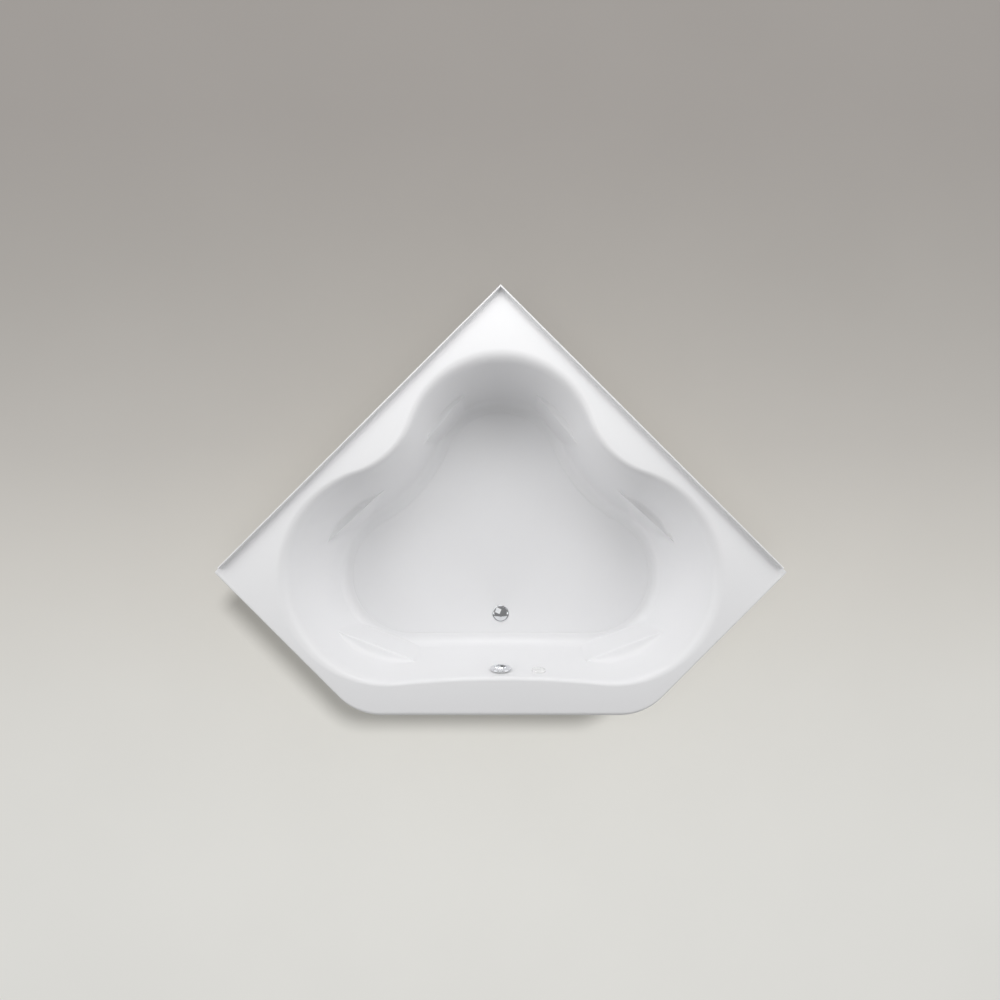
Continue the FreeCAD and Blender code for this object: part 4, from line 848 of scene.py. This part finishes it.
# ---------------------------------------------------------------- studio
# Distance behind (+) or before (-) the middle, and the floor's colour there: painted shade, darker
# towards the back and lighter towards the front.
PAINTED_FLOOR_SHADE = ((1.7, (0.37, 0.346, 0.327)), (0.95, (0.42, 0.4, 0.374)), (0.25, (0.51, 0.49, 0.462)),
                (-0.3, (0.64, 0.62, 0.58)), (-0.85, (0.71, 0.7, 0.665)), (-1.7, (0.77, 0.765, 0.733)))
# Name, place, side of the square and power.
SOFT_LIGHTS = (
    ("back_left", (-2.6, 2.2, 2.6), 2.4, 38.0),
    ("back_right", (2.6, 2.2, 2.6), 2.4, 38.0),
    ("back_near", (0.0, 1.9, 2.0), 1.4, 23.0),
    ("side_left", (-4.0, 0.0, 2.45), 3.0, 49.0),
    ("side_right", (4.0, 0.0, 2.45), 3.0, 49.0),
    ("front_low", (0.0, -3.2, 2.2), 2.4, 3.0),
    ("overhead", (-1.3, 0.5, 4.6), 2.8, 17.0),
)
FLOOR_WASH = ("floor_wash", (0.0, 0.0, 9.0), 5.0, 250.0)
FLOOR_SUN_FROM, FLOOR_SUN, FLOOR_SUN_SPREAD = (0.28, 0.36, 1.0), 1.55, 9.0
LIGHTS_AIM = (0.0, 0.0, 0.3)
CAMERA_AT = (-0.0026, 0.0038)    # beside the middle of the tub, in metres
SENSOR_WIDTH, VIEW_END = 36.0, 50.0
WORLD_TINT = (1.0, 0.998, 0.995, 1.0)
FLOOR_HALF, FLOOR_CELLS = 9.0, 8
MIX_FACTOR, MIX_FIRST, MIX_SECOND, MIX_RESULT = 0, 6, 7, 2     # colour sockets of a mix node


def floor_with_painted_shade(tint):
    """Floor colour with painted shade, darker towards the back and lighter towards the front, with a
    faint mottle.
    """
    tints = (tint, tuple(c * FLOOR_MOTTLE for c in tint))
    made = procedural("studio_floor", tints, (0.85, 0.95), grain=1.5)
    tree = made.node_tree
    nodes, links = tree.nodes, tree.links
    shader = nodes["Principled BSDF"]
    mottle = shader.inputs["Base Color"].links[0].from_socket
    place = nodes.new("ShaderNodeTexCoord")
    parts = nodes.new("ShaderNodeSeparateXYZ")
    links.new(place.outputs["Object"], parts.inputs["Vector"])
    start, end = PAINTED_FLOOR_SHADE[0][0], PAINTED_FLOOR_SHADE[-1][0]
    depth = nodes.new("ShaderNodeMapRange")
    depth.inputs["From Min"].default_value = start
    depth.inputs["From Max"].default_value = end
    links.new(parts.outputs["Y"], depth.inputs["Value"])
    # painted shade: the floor's colour ramps from dark at the back to light at the front
    painted_shade_ramp = nodes.new("ShaderNodeValToRGB")
    painted_shade_ramp.color_ramp.interpolation = "B_SPLINE"
    stops = painted_shade_ramp.color_ramp.elements
    for y, _ in PAINTED_FLOOR_SHADE[1:-1]:
        stops.new((y - start) / (end - start))
    for stop, (_, painted_shade_colour) in zip(stops, PAINTED_FLOOR_SHADE):
        stop.color = (*painted_shade_colour, 1.0)
    links.new(depth.outputs["Result"], painted_shade_ramp.inputs["Fac"])
    blend = nodes.new("ShaderNodeMix")
    blend.data_type = "RGBA"
    blend.blend_type = "MULTIPLY"
    blend.inputs[MIX_FACTOR].default_value = 1.0
    links.new(mottle, blend.inputs[MIX_FIRST])
    links.new(painted_shade_ramp.outputs["Color"], blend.inputs[MIX_SECOND])
    links.new(blend.outputs[MIX_RESULT], shader.inputs["Base Color"])
    return made


def add_sun(name, away, strength, spread, lit):
    """Far light from a direction, for the pieces of one collection."""
    data = bpy.data.lights.new(name, "SUN")
    data.energy = strength
    data.angle = math.radians(spread)
    lamp = bpy.data.objects.new(name, data)
    lamp.rotation_euler = Vector(away).to_track_quat("Z", "Y").to_euler()
    lamp.light_linking.receiver_collection = lit
    bpy.context.scene.collection.objects.link(lamp)


def add_light(name, place, target, size, power, lit):
    """Square soft light at a place, turned towards a target, for the pieces of one collection."""
    data = bpy.data.lights.new(name, "AREA")
    data.shape = "SQUARE"
    data.size = size
    data.energy = power
    lamp = bpy.data.objects.new(name, data)
    lamp.location = place
    aim = Vector(target) - Vector(place)
    lamp.rotation_euler = aim.to_track_quat("-Z", "Y").to_euler()
    lamp.light_linking.receiver_collection = lit
    bpy.context.scene.collection.objects.link(lamp)


def lay_floor(tint):
    """Level floor under the tub, its colour graded with painted shade."""
    bm = bmesh.new()
    bmesh.ops.create_grid(bm, x_segments=FLOOR_CELLS, y_segments=FLOOR_CELLS, size=FLOOR_HALF)
    mesh = bpy.data.meshes.new("studio_floor")
    bm.to_mesh(mesh)
    bm.free()
    floor = bpy.data.objects.new("studio_floor", mesh)
    mesh.materials.append(floor_with_painted_shade(tint))
    bpy.context.scene.collection.objects.link(floor)
    floor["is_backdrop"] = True
    return floor


def set_world(strength):
    """Even light from all round."""
    world = bpy.data.worlds.new("studio")
    world.use_nodes = True
    background = world.node_tree.nodes["Background"]
    background.inputs["Color"].default_value = WORLD_TINT
    background.inputs["Strength"].default_value = strength
    bpy.context.scene.world = world


def lit_group(name, pieces):
    """Collection of the pieces that some of the lights fall on."""
    group = bpy.data.collections.new(name)
    for piece in pieces:
        group.objects.link(piece)
    return group


def set_camera(height, lens):
    """Camera over the tub that looks straight down."""
    data = bpy.data.cameras.new("camera")
    data.lens = lens
    data.sensor_width = SENSOR_WIDTH
    data.clip_end = VIEW_END
    camera = bpy.data.objects.new("camera", data)
    camera.location = (*CAMERA_AT, height)
    bpy.context.scene.collection.objects.link(camera)
    bpy.context.scene.camera = camera


# ---------------------------------------------------------------- settings
class TubFinish(bpy.types.PropertyGroup):
    """Looks of the shell"""
    acrylic_colour: bpy.props.FloatVectorProperty(
        name="Acrylic colour", description="Colour of the moulded shell", subtype="COLOR",
        min=0.0, max=1.0, default=(0.83, 0.83, 0.84))
    acrylic_roughness: bpy.props.FloatProperty(
        name="Acrylic roughness", description="How soft the shell's reflections are",
        min=0.0, max=1.0, default=0.4, subtype="FACTOR")


class TubStage(bpy.types.PropertyGroup):
    """Camera, lights and floor"""
    camera_height: bpy.props.FloatProperty(
        name="Camera height", description="Height of the camera over the floor",
        default=3.508, unit="LENGTH")
    lens: bpy.props.FloatProperty(
        name="Lens", description="Focal length on a 36 mm wide sensor", default=28.72,
        subtype="DISTANCE_CAMERA")
    light: bpy.props.FloatProperty(
        name="Light", description="Factor on the soft lights over the tub", default=1.0, min=0.0)
    fill: bpy.props.FloatProperty(
        name="Fill", description="Strength of the even light from all round", default=0.235)
    # this tint is multiplied by the floor's painted shade, which is darker towards the back
    floor_colour: bpy.props.FloatVectorProperty(
        name="Floor colour", description="Tint of the whole graded floor", subtype="COLOR",
        min=0.0, max=1.0, default=(1.0, 1.0, 1.0))
    floor_light: bpy.props.FloatProperty(
        name="Floor light", description="Factor on the lights that fall on the floor",
        default=1.0, min=0.0)


class TubOperator(bpy.types.Operator):
    """Base of the tub's operators."""
    bl_options = {"REGISTER", "UNDO"}


class TUB_OT_shell(TubOperator):
    """Build the acrylic shell with its flanges, basin and armrest ledges"""
    bl_idname = "tub.shell"
    bl_label = "Acrylic shell"

    def execute(self, context):
        bm = bmesh.new()
        build_shell(bm)
        piece = finish_mesh(bm, "acrylic_shell", "shell", SHELL_WELD)
        piece.data.materials.append(material("shell_back"))
        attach(piece, "bath")
        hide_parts("bath_shell")
        return {"FINISHED"}


class TUB_OT_drain(TubOperator):
    """Turn the chrome drain flange and the domed stopper"""
    bl_idname = "tub.drain"
    bl_label = "Drain"

    def execute(self, context):
        frame = drain_frame()
        add_turned("flange_ring", "drain_flange", "bath", "chrome", frame, FLANGE, FLANGE_HUB,
                   extra=add_spider)
        add_turned("stopper_dome", "drain_stopper", "stopper", "chrome", frame, STOPPER)
        return {"FINISHED"}


class TUB_OT_overflow(TubOperator):
    """Turn the chrome overflow dial with its water ways"""
    bl_idname = "tub.overflow"
    bl_label = "Overflow dial"

    def execute(self, context):
        add_turned("dial_face", "overflow_dial", "dial", "chrome", wall_frame(0, OVERFLOW_DROP), DIAL,
                   extra=cut_water_ways)
        return {"FINISHED"}


class TUB_OT_button(TubOperator):
    """Turn the white air button and its bezel, and wind its spring"""
    bl_idname = "tub.button"
    bl_label = "Air button"

    def execute(self, context):
        frame = wall_frame(BUTTON_X, OVERFLOW_DROP)
        add_turned("bezel_ring", "button_bezel", "bath", "button_plastic", frame, BEZEL)
        add_turned("button_face", "button_cap", "button", "button_plastic", frame, CAP)
        add_spring(frame)
        return {"FINISHED"}


class TUB_OT_dress(TubOperator):
    """Give each carried-over piece the material of its slot"""
    bl_idname = "tub.dress"
    bl_label = "Materials of the pieces"

    def execute(self, context):
        slots = {item["node"]: item["material_slot"] for item in FRAME["record"]["subparts"]}
        for node, piece in FRAME["nodes"].items():
            if not piece.material_slots:
                raise RuntimeError(f"{node} has no material slot")
            for slot in piece.material_slots:
                slot.material = material(slots[node])
        return {"FINISHED"}


class TUB_OT_stage(TubOperator):
    """Lay the pale floor, the soft lights and the camera over the tub"""
    bl_idname = "tub.stage"
    bl_label = "Floor, lights and camera"

    def execute(self, context):
        stage = context.scene.tub_stage
        floor = lay_floor(tuple(stage.floor_colour))
        set_world(stage.fill)
        on_floor = lit_group("lit_floor", [floor])
        on_tub = lit_group("lit_tub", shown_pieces())
        for name, place, size, power in SOFT_LIGHTS:
            add_light(name, place, LIGHTS_AIM, size, power * stage.light, on_tub)
        name, place, size, power = FLOOR_WASH
        add_light(name, place, (0, 0, 0), size, power * stage.floor_light, on_floor)
        add_sun("floor_sun", FLOOR_SUN_FROM, FLOOR_SUN * stage.floor_light, FLOOR_SUN_SPREAD, on_floor)
        set_camera(stage.camera_height, stage.lens)
        context.scene.view_settings.view_transform = "Standard"
        return {"FINISHED"}


class TUB_PT_panel(bpy.types.Panel):
    """Lists the tub's operators and settings"""
    bl_label = "Bathtub"
    bl_idname = "TUB_PT_panel"
    bl_space_type = "VIEW_3D"
    bl_region_type = "UI"
    bl_category = "Bathtub"

    def draw(self, context):
        for operator in OPERATORS:
            self.layout.operator(operator.bl_idname)
        for group in (context.scene.tub_finish, context.scene.tub_stage):
            for name in group.bl_rna.properties.keys():
                if name not in ("rna_type", "name"):
                    self.layout.prop(group, name)


OPERATORS = (TUB_OT_shell, TUB_OT_drain, TUB_OT_overflow, TUB_OT_button, TUB_OT_dress,
             TUB_OT_stage)
CLASSES = (TubFinish, TubStage, *OPERATORS, TUB_PT_panel)


def register():
    for item in CLASSES:
        bpy.utils.register_class(item)
    bpy.types.Scene.tub_finish = bpy.props.PointerProperty(type=TubFinish)
    bpy.types.Scene.tub_stage = bpy.props.PointerProperty(type=TubStage)


def unregister():
    del bpy.types.Scene.tub_finish
    del bpy.types.Scene.tub_stage
    for item in reversed(CLASSES):
        bpy.utils.unregister_class(item)


def main():
    """Register the classes, then run the operators in order."""
    register()
    for operator in OPERATORS:
        group, name = operator.bl_idname.split(".")
        result = getattr(getattr(bpy.ops, group), name)()
        if result != {"FINISHED"}:
            raise RuntimeError(f"{operator.bl_idname} didn't finish")


if __name__ == "__main__":
    main()
